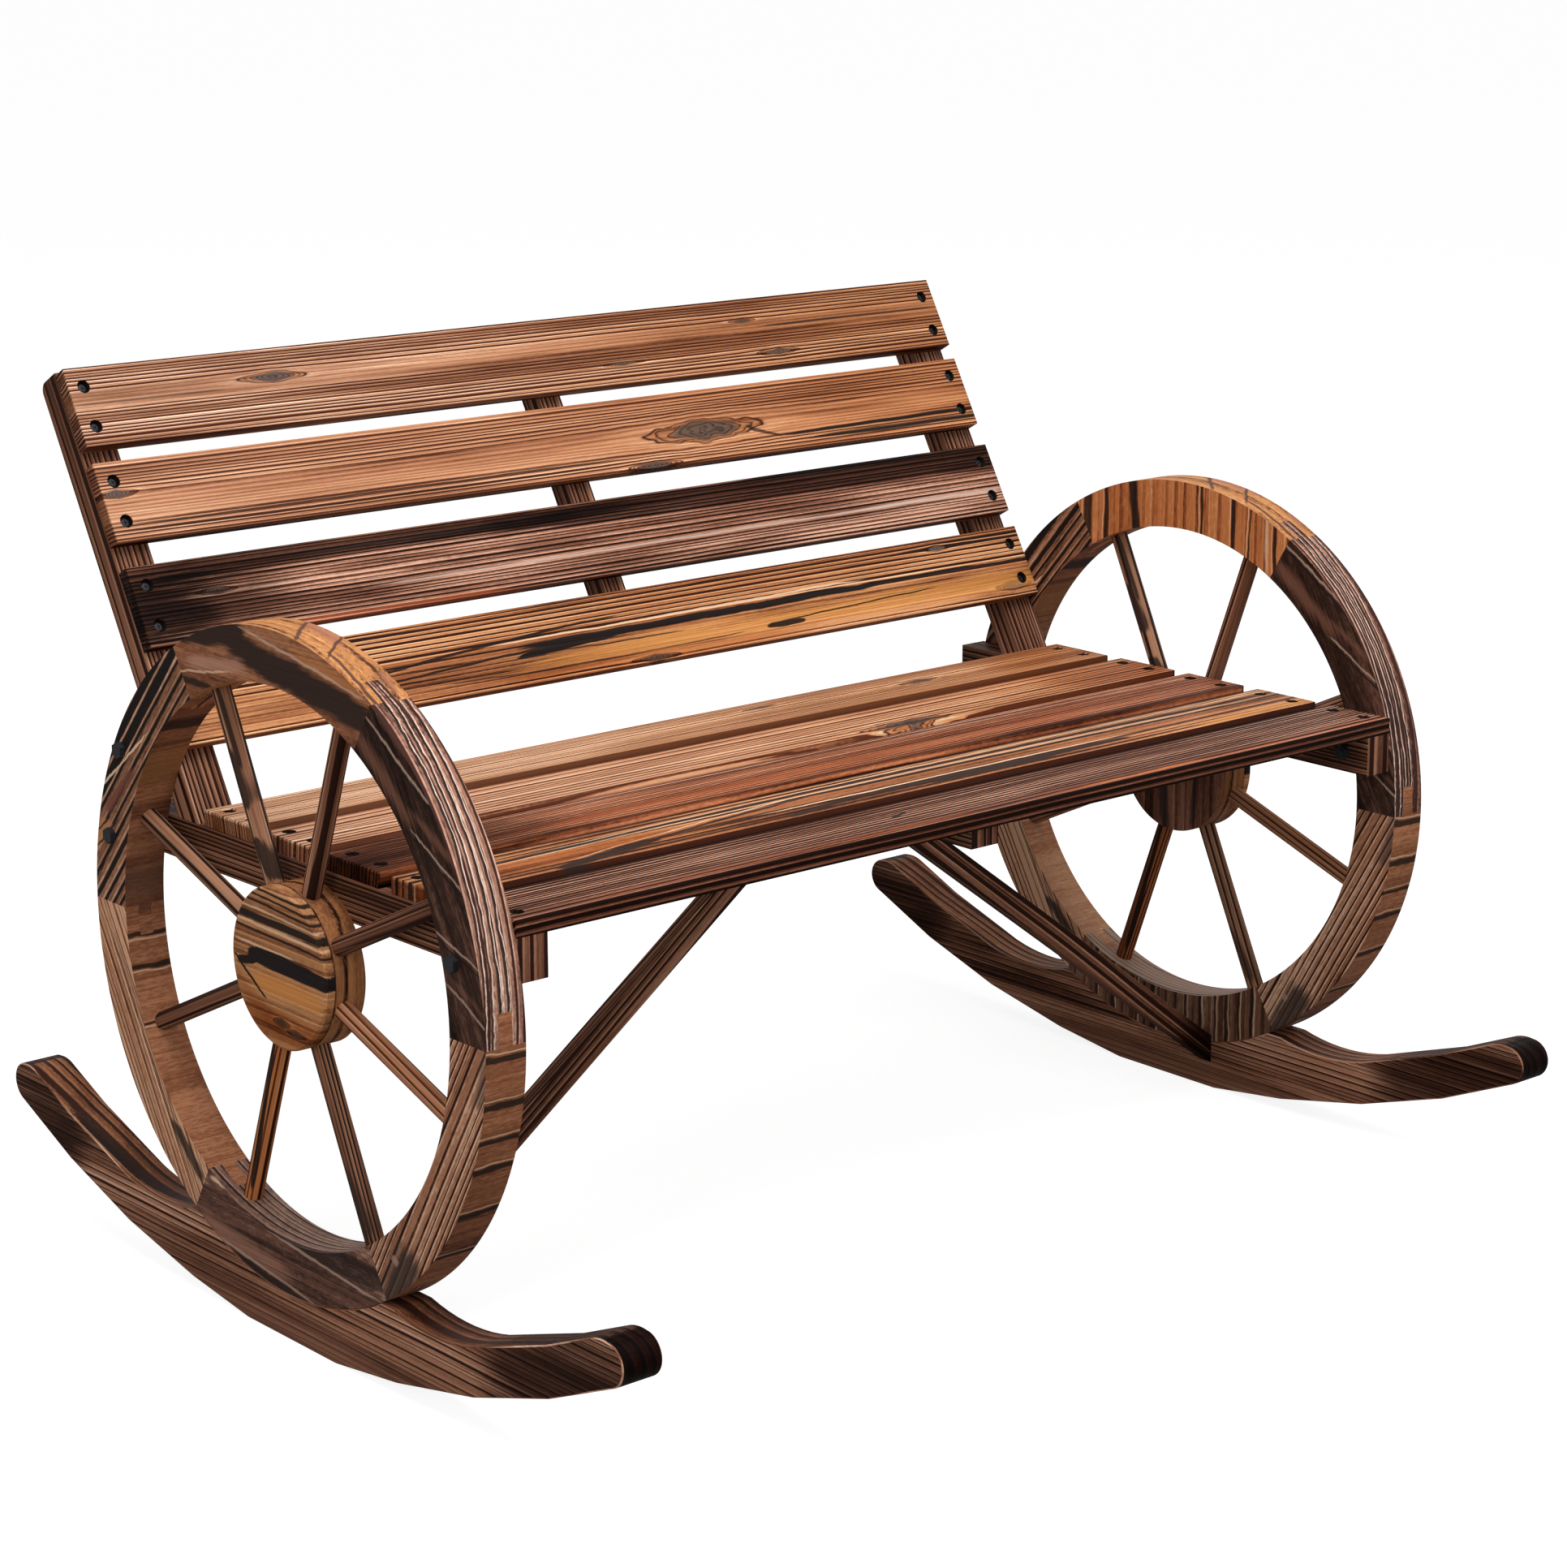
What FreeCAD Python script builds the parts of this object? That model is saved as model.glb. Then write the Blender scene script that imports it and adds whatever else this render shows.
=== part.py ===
import FreeCAD, Part
import math
import os

os.makedirs("parts", exist_ok=True)

# Two-seat rocking bench of charred softwood. Two spoked wheels are the sides, each on a curved
# runner. A slatted seat and a leaning slatted back hang between the wheels.
# Millimetres. X runs across the bench, Y from front to back and Z up. The origin is on the floor,
# half way between the wheels and straight below their hubs. Left is the -X side.

# Wheels
inner_width = 1045.8
wheel_radius = 290.0
rim_width = 47.7
rim_thickness = 39.4
felloe_names = ("front_lower", "front_upper", "top", "rear_upper", "rear_lower", "bottom")
first_joint_angle = -60.0
tongue_length = 27.5
tongue_thickness = 13.1
glue_gap = 0.1

# Spokes and hub
spoke_count = 8
first_spoke_angle = 25.2
spoke_diameter = 16.8
rim_socket_depth = 20.0
hub_socket_depth = 25.0
hub_radius = 70.5
hub_cap_thickness = 10.8
hub_cap_ease = 2.0

# Rocker runners. The sole and the arms are straight between these corners, each given as its
# distance from the axle along Y and its height over the floor
runner_depth = 42.1
runner_reach = 457.0
sole_corners = ((67.0, 0.0), (156.0, 11.4), (262.0, 33.6), (362.0, 65.5))
arm_corners = ((262.1, 77.6), (360.0, 110.3), (419.0, 135.7))
saddle_half_angle = 28.2
horn_land = 17.0
waist_drop = 6.4
nose_radius = 18.6
nose_height = 118.9
nose_blend_bulge = 1.3

# Slats of the seat and the back
slat_width = 75.0
slat_thickness = 15.0
slat_end_gap = 0.2
seat_above_axle = 96.6
seat_overhang = 6.0
seat_gap_aim = 18.75
back_foot_behind_axle = 170.8
back_lean = 29.5
back_gaps = (58.5, 18.0, 24.0, 15.7)
post_above_slat = 2.5

# Frame under the seat and behind the back
rail_width = 30.9
rail_depth = 37.6
rail_front_setback = 0.0
rail_behind_post = 68.5
cleat_width = 33.0
cleat_depth = 22.5
cleat_front_setback = 15.7
cleat_rear_setback = 15.0
post_width = 38.2
post_depth = 29.0
post_top_radius = 9.0
centre_post_width = 25.0
centre_post_foot_rise = 15.0

# Diagonal braces from the runners up to the middle of the seat
brace_width = 16.0
brace_depth = 23.5
brace_behind_axle = -55.0
brace_foot_below_tread = 15.4
brace_head_height = 18.4

# Bolts through the wheels, with their places on the rim measured from the middle of its width
bolt_diameter = 8.0
bolt_head_flats = 13.0
bolt_head_height = 5.3
bolt_end = 1.9
nut_height = 6.5
front_bolt_offset = -8.2
rear_bolt_offset = 1.4
post_bolt_offset = 12.0
post_bolt_depth = 20.2

# Counterbores for the screws that hold the slats
counterbore_diameter = 12.3
counterbore_depth = 6.0
counterbore_from_slat_end = 15.2
seat_bore_rear_inset = 16.5
seat_bore_front_insets = (21.8, 21.9, 17.5, 16.9, 19.4)
back_bore_inset = 18.5

# Worked-out places
inner_half = inner_width / 2
wheel_middle = inner_half + rim_thickness / 2
outer_half = inner_half + rim_thickness
saddle_radius = wheel_radius + glue_gap
axle_height = runner_depth + saddle_radius
rim_inner_radius = wheel_radius - rim_width
rim_mid_radius = wheel_radius - rim_width / 2
felloe_angle = 360 / len(felloe_names)
spoke_fit_radius = spoke_diameter / 2 + glue_gap

slat_half = inner_half - slat_end_gap
slat_bore_x = slat_half - counterbore_from_slat_end
seat_top = axle_height + seat_above_axle
seat_underside = seat_top - slat_thickness
seat_front = -math.sqrt(wheel_radius ** 2 - seat_above_axle ** 2) - seat_overhang
seat_rear = back_foot_behind_axle
seat_depth = seat_rear - seat_front
seat_slat_count = round((seat_depth + seat_gap_aim) / (slat_width + seat_gap_aim))
seat_pitch = (seat_depth - slat_width) / (seat_slat_count - 1)

lean = math.radians(back_lean)
back_placement = FreeCAD.Placement(FreeCAD.Vector(0, seat_rear, seat_top),
                                   FreeCAD.Rotation(FreeCAD.Vector(1, 0, 0), -back_lean))
back_slat_starts = []
height_up_back = 0.0
for gap in back_gaps:
    height_up_back += gap
    back_slat_starts.append(height_up_back)
    height_up_back += slat_width
post_top = height_up_back + post_above_slat
post_front_depth = slat_thickness
post_rear_depth = post_front_depth + post_depth

rail_bottom = seat_underside - rail_depth
rail_middle_height = seat_underside - rail_depth / 2
rail_inner_half = inner_half - rail_width
post_inner_half = inner_half - post_width
post_foot_rear = seat_rear - slat_thickness * math.tan(lean) + post_rear_depth / math.cos(lean)
rail_front = seat_front + rail_front_setback
rail_rear = post_foot_rear + rail_behind_post
cleat_bottom = seat_underside - cleat_depth


def point(x, y, z):
    return FreeCAD.Vector(x, y, z)


def wheel_point(x, radius, degrees):
    """A point on a circle round the hub. 0 degrees is the front and 90 the top."""
    turn = math.radians(degrees)
    return point(x, -radius * math.cos(turn), axle_height + radius * math.sin(turn))


def line(start, end):
    return Part.LineSegment(start, end).toShape()


def arc(start, middle, end):
    return Part.Arc(start, middle, end).toShape()


def plate(edges, travel):
    """Close the edges into an outline and push it along travel."""
    outline = Part.Wire(Part.__sortEdges__(edges))
    return Part.Face(outline).extrude(travel)


def rod(radius, start, end):
    return Part.makeCylinder(radius, start.distanceToPoint(end), start, end - start)


def block(low, high):
    size = high - low
    return Part.makeBox(size.x, size.y, size.z, low)


def cut_all(solid, tools):
    for tool in tools:
        solid = solid.cut(tool)
    return solid


def save(name, solids):
    """Write one node: a single solid, or a group of separate ones."""
    shape = solids if isinstance(solids, Part.Shape) else Part.Compound(solids)
    shape.exportStep("parts/" + name + ".step")
    print(name, len(shape.Solids), round(shape.Volume / 1000, 1), "cm3")


# Bolts: through the rim and the rail or the post behind it
def rim_chord(radius, height):
    return math.sqrt(radius ** 2 - (height - axle_height) ** 2)


def post_bolt_place():
    """Where the line inside the post, post_bolt_depth behind its front, meets the rim's circle."""
    radius = rim_mid_radius + post_bolt_offset
    start = back_placement.multVec(point(0, post_front_depth + post_bolt_depth, 0))
    along = back_placement.Rotation.multVec(point(0, 0, 1))
    y = start.y
    z = start.z - axle_height
    half_b = y * along.y + z * along.z
    travel = -half_b + math.sqrt(half_b ** 2 - (y * y + z * z - radius ** 2))
    return start + along * travel


front_bolt = point(0, -rim_chord(rim_mid_radius + front_bolt_offset, rail_middle_height),
                   rail_middle_height)
rear_bolt = point(0, rim_chord(rim_mid_radius + rear_bolt_offset, rail_middle_height),
                  rail_middle_height)
post_bolt = post_bolt_place()
bolt_places = ((front_bolt, rail_inner_half), (rear_bolt, rail_inner_half),
               (post_bolt, post_inner_half))


def bolt_hole(place, side):
    start = point(side * (post_inner_half - 1), place.y, place.z)
    end = point(side * (outer_half + 1), place.y, place.z)
    return rod(bolt_diameter / 2 + glue_gap, start, end)


def hexagon(centre, flats, height, side):
    """A hexagonal prism that stands on centre and grows outwards, along X."""
    corner = flats / 2 / math.cos(math.pi / 6)
    corners = []
    for step in range(6):
        turn = math.radians(60 * step)
        corners.append(centre + point(0, corner * math.sin(turn), corner * math.cos(turn)))
    corners.append(corners[0])
    return Part.Face(Part.makePolygon(corners)).extrude(point(side * height, 0, 0))


def bolt(place, inner_x, side):
    head_seat = point(side * outer_half, place.y, place.z)
    tip_x = inner_x - nut_height - bolt_end
    shank = rod(bolt_diameter / 2, point(side * tip_x, place.y, place.z), head_seat)
    head = hexagon(head_seat, bolt_head_flats, bolt_head_height, side)
    return head.fuse(shank).removeSplitter()


def nut(place, inner_x, side):
    seat = point(side * inner_x, place.y, place.z)
    blank = hexagon(seat, bolt_head_flats, nut_height, -side)
    return blank.cut(rod(bolt_diameter / 2, seat, seat - point(side * nut_height, 0, 0)))


# Wheel rim: six bent felloes, each with a tongue at one end and a fork at the other
def ring_piece(x, thickness, inner, outer, start, end_inner, end_outer):
    """A piece of ring that starts on a radius and may end on any straight line."""
    middle_outer = wheel_point(x, outer, (start + end_outer) / 2)
    middle_inner = wheel_point(x, inner, (start + end_inner) / 2)
    edges = [arc(wheel_point(x, outer, start), middle_outer, wheel_point(x, outer, end_outer)),
             arc(wheel_point(x, inner, start), middle_inner, wheel_point(x, inner, end_inner)),
             line(wheel_point(x, inner, start), wheel_point(x, outer, start)),
             line(wheel_point(x, inner, end_inner), wheel_point(x, outer, end_outer))]
    return plate(edges, point(thickness, 0, 0))


def tongue(side, joint_angle, length, thickness, inner, outer):
    """The tongue past a joint. Its end is parallel to the joint."""
    x = side * wheel_middle - thickness / 2
    past_inner = math.degrees(math.asin(length / inner))
    past_outer = math.degrees(math.asin(length / outer))
    return ring_piece(x, thickness, inner, outer, joint_angle,
                      joint_angle + past_inner, joint_angle + past_outer)


def spoke_angles():
    return [first_spoke_angle + 360 / spoke_count * step for step in range(spoke_count)]


def spoke_sockets(side, inner, outer):
    sockets = []
    for angle in spoke_angles():
        start = wheel_point(side * wheel_middle, inner, angle)
        end = wheel_point(side * wheel_middle, outer, angle)
        sockets.append(rod(spoke_fit_radius, start, end))
    return sockets


def felloe(side, start):
    end = start + felloe_angle
    x = side * wheel_middle - rim_thickness / 2
    body = ring_piece(x, rim_thickness, rim_inner_radius, wheel_radius, start, end, end)
    own_tongue = tongue(side, end, tongue_length, tongue_thickness, rim_inner_radius, wheel_radius)
    slot = tongue(side, start, tongue_length + glue_gap, tongue_thickness + 2 * glue_gap,
                  rim_inner_radius - 1, wheel_radius + 1)
    body = body.fuse(own_tongue).removeSplitter().cut(slot)
    body = cut_all(body, spoke_sockets(side, rim_inner_radius - 5,
                                       rim_inner_radius + rim_socket_depth))
    return cut_all(body, [bolt_hole(place, side) for place, inner_x in bolt_places])


def spoke(side, angle):
    x = side * wheel_middle
    inner = hub_radius - hub_socket_depth + glue_gap
    outer = rim_inner_radius + rim_socket_depth - glue_gap
    return rod(spoke_diameter / 2, wheel_point(x, inner, angle), wheel_point(x, outer, angle))


# Hub: a turned cap on the outer side of a drum that holds the spokes
def hub_drum(side):
    inner = point(side * inner_half, 0, axle_height)
    outer = point(side * (outer_half - hub_cap_thickness), 0, axle_height)
    drum = rod(hub_radius, inner, outer)
    return cut_all(drum, spoke_sockets(side, hub_radius - hub_socket_depth, hub_radius + 1))


def hub_cap(side):
    seat = outer_half - hub_cap_thickness
    half_profile = [(seat, 0), (seat, hub_radius - hub_cap_ease), (seat + hub_cap_ease, hub_radius),
                    (outer_half - hub_cap_ease, hub_radius), (outer_half, hub_radius - hub_cap_ease),
                    (outer_half, 0), (seat, 0)]
    outline = [point(side * x, 0, axle_height + radius) for x, radius in half_profile]
    profile = Part.Face(Part.makePolygon(outline))
    return profile.revolve(point(0, 0, axle_height), point(1, 0, 0), 360)


# Rocker: a runner with a saddle for the bottom of the wheel, a faceted sole and two rising arms
def toe_point(x, corner, nose):
    """Where the straight line from the sole's last corner touches the round nose."""
    reach = nose - corner
    base_angle = math.atan2(reach.z, reach.y)
    touch_angle = base_angle - math.asin(nose_radius / reach.Length)
    run = math.sqrt(reach.Length ** 2 - nose_radius ** 2)
    return corner + point(0, run * math.cos(touch_angle), run * math.sin(touch_angle))


def runner_outline(x):
    horn_turn = math.radians(saddle_half_angle)
    horn = point(x, saddle_radius * math.sin(horn_turn),
                 axle_height - saddle_radius * math.cos(horn_turn))
    land_end = horn + point(0, horn_land, 0)
    arm = [point(x, y, z) for y, z in arm_corners]
    waist = point(x, (land_end.y + arm[0].y) / 2, land_end.z - waist_drop)

    nose = point(x, runner_reach - nose_radius, nose_height)
    nose_top = nose + point(0, 0, nose_radius)
    tip = nose + point(0, nose_radius, 0)
    blend_middle = (arm[-1] + nose_top) * 0.5 + point(0, 0, nose_blend_bulge)
    sole = [point(x, y, z) for y, z in sole_corners]
    sole.append(toe_point(x, sole[-1], nose))

    half = [line(horn, land_end), arc(land_end, waist, arm[0])]
    half += [line(start, end) for start, end in zip(arm, arm[1:])]
    half += [arc(arm[-1], blend_middle, nose_top), arc(nose_top, tip, sole[-1])]
    half += [line(start, end) for start, end in zip(sole, sole[1:])]
    other_half = [edge.mirror(point(0, 0, 0), point(0, 1, 0)) for edge in half]
    saddle = arc(horn, point(x, 0, axle_height - saddle_radius), point(x, -horn.y, horn.z))
    sole_middle = line(sole[0], point(x, -sole[0].y, sole[0].z))
    return half + other_half + [saddle, sole_middle]


def rocker(side):
    x = side * wheel_middle - rim_thickness / 2
    return plate(runner_outline(x), point(rim_thickness, 0, 0))


# Braces: from the inner face of each runner to the cleat under the seat
brace_low_edge_run = inner_half - cleat_width / 2
brace_foot_low = axle_height - wheel_radius - brace_foot_below_tread
brace_head_low = seat_underside - brace_head_height
brace_slope = (brace_head_low - brace_foot_low) / brace_low_edge_run
brace_rise = brace_depth * math.sqrt(1 + brace_slope ** 2)


def brace(side):
    foot_x = side * inner_half
    head_x = side * cleat_width / 2
    y = brace_behind_axle - brace_width / 2
    level_run = (brace_rise - brace_head_height) / brace_slope
    corners = [point(foot_x, y, brace_foot_low), point(foot_x, y, brace_foot_low + brace_rise),
               point(head_x + side * level_run, y, seat_underside),
               point(head_x, y, seat_underside), point(head_x, y, brace_head_low)]
    corners.append(corners[0])
    return Part.Face(Part.makePolygon(corners)).extrude(point(0, brace_width, 0))


# Seat: slats on two side rails and a cleat down the middle
def seat_slat_rear(index):
    return seat_rear - index * seat_pitch


def seat_slat(index):
    rear = seat_slat_rear(index)
    front = rear - slat_width
    board = block(point(-slat_half, front, seat_underside), point(slat_half, rear, seat_top))
    front_inset = seat_bore_front_insets[index % len(seat_bore_front_insets)]
    for x in (-slat_bore_x, slat_bore_x):
        for y in (rear - seat_bore_rear_inset, front + front_inset):
            floor = point(x, y, seat_top - counterbore_depth)
            board = board.cut(rod(counterbore_diameter / 2, floor, point(x, y, seat_top + 1)))
    return board


def seat_rail(side):
    low = point(min(side * inner_half, side * rail_inner_half), rail_front, rail_bottom)
    high = point(max(side * inner_half, side * rail_inner_half), rail_rear, seat_underside)
    return cut_all(block(low, high), [bolt_hole(front_bolt, side), bolt_hole(rear_bolt, side)])


def centre_cleat():
    low = point(-cleat_width / 2, seat_front + cleat_front_setback, cleat_bottom)
    high = point(cleat_width / 2, seat_rear - cleat_rear_setback, seat_underside)
    return block(low, high)


# Back: slats on the leaning front faces of three posts
def back_slat(index):
    start = back_slat_starts[index]
    end = start + slat_width
    board = block(point(-slat_half, 0, start), point(slat_half, slat_thickness, end))
    for x in (-slat_bore_x, slat_bore_x):
        for height in (start + back_bore_inset, end - back_bore_inset):
            floor = point(x, counterbore_depth, height)
            board = board.cut(rod(counterbore_diameter / 2, floor, point(x, -1, height)))
    board.Placement = back_placement
    return board


def rounded_post(low_x, high_x, start):
    """A post whose rear top edge is rounded over, in the leaning frame of the back."""
    corner = post_rear_depth - post_top_radius
    shoulder = post_top - post_top_radius
    bend = post_top_radius * math.sqrt(0.5)
    edges = [line(point(low_x, post_front_depth, start), point(low_x, post_front_depth, post_top)),
             line(point(low_x, post_front_depth, post_top), point(low_x, corner, post_top)),
             arc(point(low_x, corner, post_top), point(low_x, corner + bend, shoulder + bend),
                 point(low_x, post_rear_depth, shoulder)),
             line(point(low_x, post_rear_depth, shoulder), point(low_x, post_rear_depth, start)),
             line(point(low_x, post_rear_depth, start), point(low_x, post_front_depth, start))]
    solid = plate(edges, point(high_x - low_x, 0, 0))
    solid.Placement = back_placement
    return solid


def outer_post(side):
    low_x = min(side * inner_half, side * post_inner_half)
    post = rounded_post(low_x, low_x + post_width, -2 * slat_width)
    below_rail_top = block(point(low_x - 1, seat_front, 0),
                           point(low_x + post_width + 1, rail_rear + slat_width, seat_underside))
    return post.cut(below_rail_top).cut(bolt_hole(post_bolt, side))


# Every node in turn
sides = (("left", -1), ("right", 1))

for side_name, side in sides:
    for number, felloe_name in enumerate(felloe_names):
        start_angle = first_joint_angle + number * felloe_angle
        save(side_name + "_felloe_" + felloe_name, felloe(side, start_angle))
    for number, angle in enumerate(spoke_angles()):
        save(side_name + "_spoke_" + str(number + 1), spoke(side, angle))
    save(side_name + "_hub_drum", hub_drum(side))
    save(side_name + "_hub_cap", hub_cap(side))
    save(side_name + "_rocker", rocker(side))
    save(side_name + "_brace", brace(side))
    save(side_name + "_seat_rail", seat_rail(side))
    save(side_name + "_back_post", outer_post(side))

for index in range(seat_slat_count):
    save("seat_slat_" + str(index + 1), seat_slat(index))
for index in range(len(back_gaps)):
    save("back_slat_" + str(index + 1), back_slat(index))
save("seat_cleat", centre_cleat())
save("centre_back_post", rounded_post(-centre_post_width / 2, centre_post_width / 2,
                                      back_slat_starts[0] + centre_post_foot_rise))

bolts = []
nuts = []
for side_name, side in sides:
    for place, inner_x in bolt_places:
        bolts.append(bolt(place, inner_x, side))
        nuts.append(nut(place, inner_x, side))
save("wheel_bolts", bolts)
save("bolt_nuts", nuts)
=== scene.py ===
# %% [markdown]
# # A charred-fir rocking bench
# The bench is all timber: two spoked wheels on curved runners, a slatted seat and a slatted back.
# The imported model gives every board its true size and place. This lesson gives the boards eased
# edges, brushed grain, scorched colour and the black screws that hold them.

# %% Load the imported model
import math

import bmesh
import bpy
from mathutils import Matrix, Vector


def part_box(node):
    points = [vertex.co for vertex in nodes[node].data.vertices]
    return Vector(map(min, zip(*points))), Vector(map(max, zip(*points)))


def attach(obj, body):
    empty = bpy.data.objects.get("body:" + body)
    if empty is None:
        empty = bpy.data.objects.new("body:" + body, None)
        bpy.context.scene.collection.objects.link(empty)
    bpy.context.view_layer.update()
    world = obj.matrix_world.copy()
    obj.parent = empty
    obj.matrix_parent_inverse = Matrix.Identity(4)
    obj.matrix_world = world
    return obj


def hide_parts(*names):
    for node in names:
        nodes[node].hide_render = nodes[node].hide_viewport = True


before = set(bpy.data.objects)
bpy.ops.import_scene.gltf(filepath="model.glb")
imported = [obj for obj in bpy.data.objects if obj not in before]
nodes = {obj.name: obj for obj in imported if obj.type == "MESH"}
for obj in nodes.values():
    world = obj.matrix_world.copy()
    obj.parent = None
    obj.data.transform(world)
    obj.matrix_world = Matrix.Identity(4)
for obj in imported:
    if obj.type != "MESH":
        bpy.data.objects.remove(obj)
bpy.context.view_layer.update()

# %% [markdown]
# The camera has to see the bench as the photograph does. Its place and lens were worked out from
# lines on the bench whose real directions are known, so they are plain numbers here. The image is
# nearly square, and the long side of the sensor is its height.

# %% Camera at the photograph's angle
IMAGE_HEIGHT = 1932
FOCAL_PIXELS = 4559.0
SENSOR_MM = 36.0
CAMERA_PLACE = Vector((-2.1784, -2.5053, 1.2442))
CAMERA_YAW = math.radians(40.95)
CAMERA_PITCH = math.radians(14.31)

scene = bpy.context.scene
camera_data = bpy.data.cameras.new("camera")
camera_data.sensor_width = SENSOR_MM
camera_data.lens = FOCAL_PIXELS / IMAGE_HEIGHT * SENSOR_MM
camera_data.clip_end = 100.0
camera = bpy.data.objects.new("camera", camera_data)
camera.location = CAMERA_PLACE
camera.rotation_euler = (math.pi / 2 - CAMERA_PITCH, 0, -CAMERA_YAW)
scene.collection.objects.link(camera)
scene.camera = camera
scene.view_settings.view_transform = "Standard"
print("lens", round(camera_data.lens, 2), "mm")

# %% [markdown]
# Every material below is a tree of nodes. To keep the recipes short, an output of a node is held
# as a Wire, and arithmetic on wires adds the maths nodes that do it: a * b + c makes a product and
# a sum. A tuple of three numbers, or a wire that carries a vector or a colour, makes vector nodes.


# %% Helpers that add nodes to any tree
class Wire:
    """The output of a node. Arithmetic on it adds maths nodes to its tree."""

    def __init__(self, socket):
        self.socket = socket
        self.is_vector = socket.type in ("VECTOR", "RGBA")

    def __add__(self, other):
        return maths("ADD", self, other)

    def __sub__(self, other):
        return maths("SUBTRACT", self, other)

    def __rsub__(self, other):
        return maths("SUBTRACT", other, self)

    def __mul__(self, other):
        return maths("MULTIPLY", self, other)

    def __truediv__(self, other):
        return maths("DIVIDE", self, other)


def plug(value, socket):
    """Link a wire to a socket, or set a plain value on it."""
    if isinstance(value, Wire):
        socket.id_data.links.new(value.socket, socket)
    else:
        socket.default_value = value


def plug_all(node, values):
    for key, value in values.items():
        plug(value, node.inputs[key])


def add(tree, kind, inputs=(), **settings):
    """Add a node to a tree, or to the tree of a wire."""
    tree = tree.socket.id_data if isinstance(tree, Wire) else tree
    node = tree.nodes.new(kind)
    for name, value in settings.items():
        setattr(node, name, value)
    plug_all(node, dict(inputs))
    return node


def wires(node):
    return [Wire(socket) for socket in node.outputs]


def wire(*tree_and_kind, **settings):
    """Add a node and take its first output."""
    return wires(add(*tree_and_kind, **settings))[0]


def maths(operation, *values):
    """A maths node, or a vector one when a value is a vector."""
    tree = next(value for value in values if isinstance(value, Wire))
    as_vector = any(isinstance(v, tuple) or getattr(v, "is_vector", False) for v in values)
    node = add(tree, "ShaderNodeVectorMath" if as_vector else "ShaderNodeMath",
               dict(enumerate(values)), operation=operation)
    return Wire(node.outputs["Value" if operation in ("LENGTH", "DOT_PRODUCT") else 0])


def times(vector, factor):
    """A vector made longer by a plain factor."""
    return wire(vector, "ShaderNodeVectorMath", {0: vector, "Scale": factor}, operation="SCALE")


def split(vector):
    return wires(add(vector, "ShaderNodeSeparateXYZ", {0: vector}))


def join(x, y, z=0.0):
    return wire(x, "ShaderNodeCombineXYZ", {0: x, 1: y, 2: z})


def smooth(value, low, high, to_low=0.0, to_high=1.0):
    """A soft step from to_low to to_high as value passes from low to high."""
    return wire(value, "ShaderNodeMapRange",
                {"Value": value, "From Min": low, "From Max": high, "To Min": to_low,
                 "To Max": to_high}, interpolation_type="SMOOTHSTEP")


def fading(value, low, high):
    """A soft step down from 1 to 0."""
    return smooth(value, low, high, 1.0, 0.0)


def stretched(vector, scale):
    """Coordinates for noise. scale is waves a metre along the grain and across it."""
    along, across = scale
    return vector * (along, across, across)


def noise(vector, seed, detail=2.0, roughness=0.5, output=0):
    return wires(add(vector, "ShaderNodeTexNoise",
                     {"Vector": vector, "W": seed, "Scale": 1.0, "Detail": detail,
                      "Roughness": roughness}, noise_dimensions="4D"))[output]


def sway(vector, seed, detail=2.0, roughness=0.5):
    """A noise vector that sways about zero."""
    return noise(vector, seed, detail, roughness, output=1) - (0.5, 0.5, 0.5)


def blend(factor, first, second):
    """Mix two colours."""
    return wires(add(factor, "ShaderNodeMix", {0: factor, 6: first, 7: second},
                     data_type="RGBA"))[2]


SOCKET_TYPES = {
    "Vector": "Vector, Pith, Slant, Place, Size, Bent, Slopes, Plain Zone",
    "Color": "Deep, Middle, Light, Pale, Char, Color, Color Before",
    "Geometry": "Geometry", "Material": "Finish", "Object": "Part", "Int": "Turn Seed"}
type_of = {name: kind for kind, names in SOCKET_TYPES.items() for name in names.split(", ")}


def new_group(name, kind, inputs, outputs):
    """A node group with named sockets: the tree, its inputs as wires, its output sockets."""
    tree = bpy.data.node_groups.new(name, kind)
    for in_out, names in (("INPUT", inputs), ("OUTPUT", outputs)):
        for socket_name in names.split(", "):
            tree.interface.new_socket(name=socket_name, in_out=in_out,
                                      socket_type="NodeSocket" + type_of.get(socket_name, "Float"))
    inside = add(tree, "NodeGroupInput")
    given = {socket.name: Wire(socket) for socket in inside.outputs if socket.name}
    return tree, given, add(tree, "NodeGroupOutput").inputs


def emptied(owner):
    """The node tree of a material or a world, with nothing in it."""
    owner.use_nodes = True
    owner.node_tree.nodes.clear()
    return owner.node_tree


def new_object(name, data):
    obj = bpy.data.objects.new(name, data)
    scene.collection.objects.link(obj)
    return obj


# %% [markdown]
# A product photograph on white has one wide soft lamp overhead, a weaker one at the side, and a
# white surround. Camera rays and mirror-like rays see the surround as plain white. All other rays
# see it dimmer, so that it fills the shadows without washing the wood out.

# %% Soft light and a white surround
AMBIENT = 0.42
FLOOR_GREY = (0.3, 0.3, 0.3, 1)
FLOOR_GLOW = 0.86
FLOOR_HALF = 30.0
WHITE = (1, 1, 1, 1)
BENCH_MIDDLE = (0.0, 0.0, 0.4)

world = bpy.data.worlds.new("studio")
scene.world = world
sky = emptied(world)
rays = add(sky, "ShaderNodeLightPath").outputs
seen = maths("MAXIMUM", Wire(rays["Is Camera Ray"]), Wire(rays["Is Transmission Ray"]))
seen = maths("MAXIMUM", seen, Wire(rays["Is Glossy Ray"]))
strength = maths("MAXIMUM", seen, AMBIENT)
background = wire(sky, "ShaderNodeBackground", {"Color": WHITE, "Strength": strength})
add(sky, "ShaderNodeOutputWorld", {"Surface": background})


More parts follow.
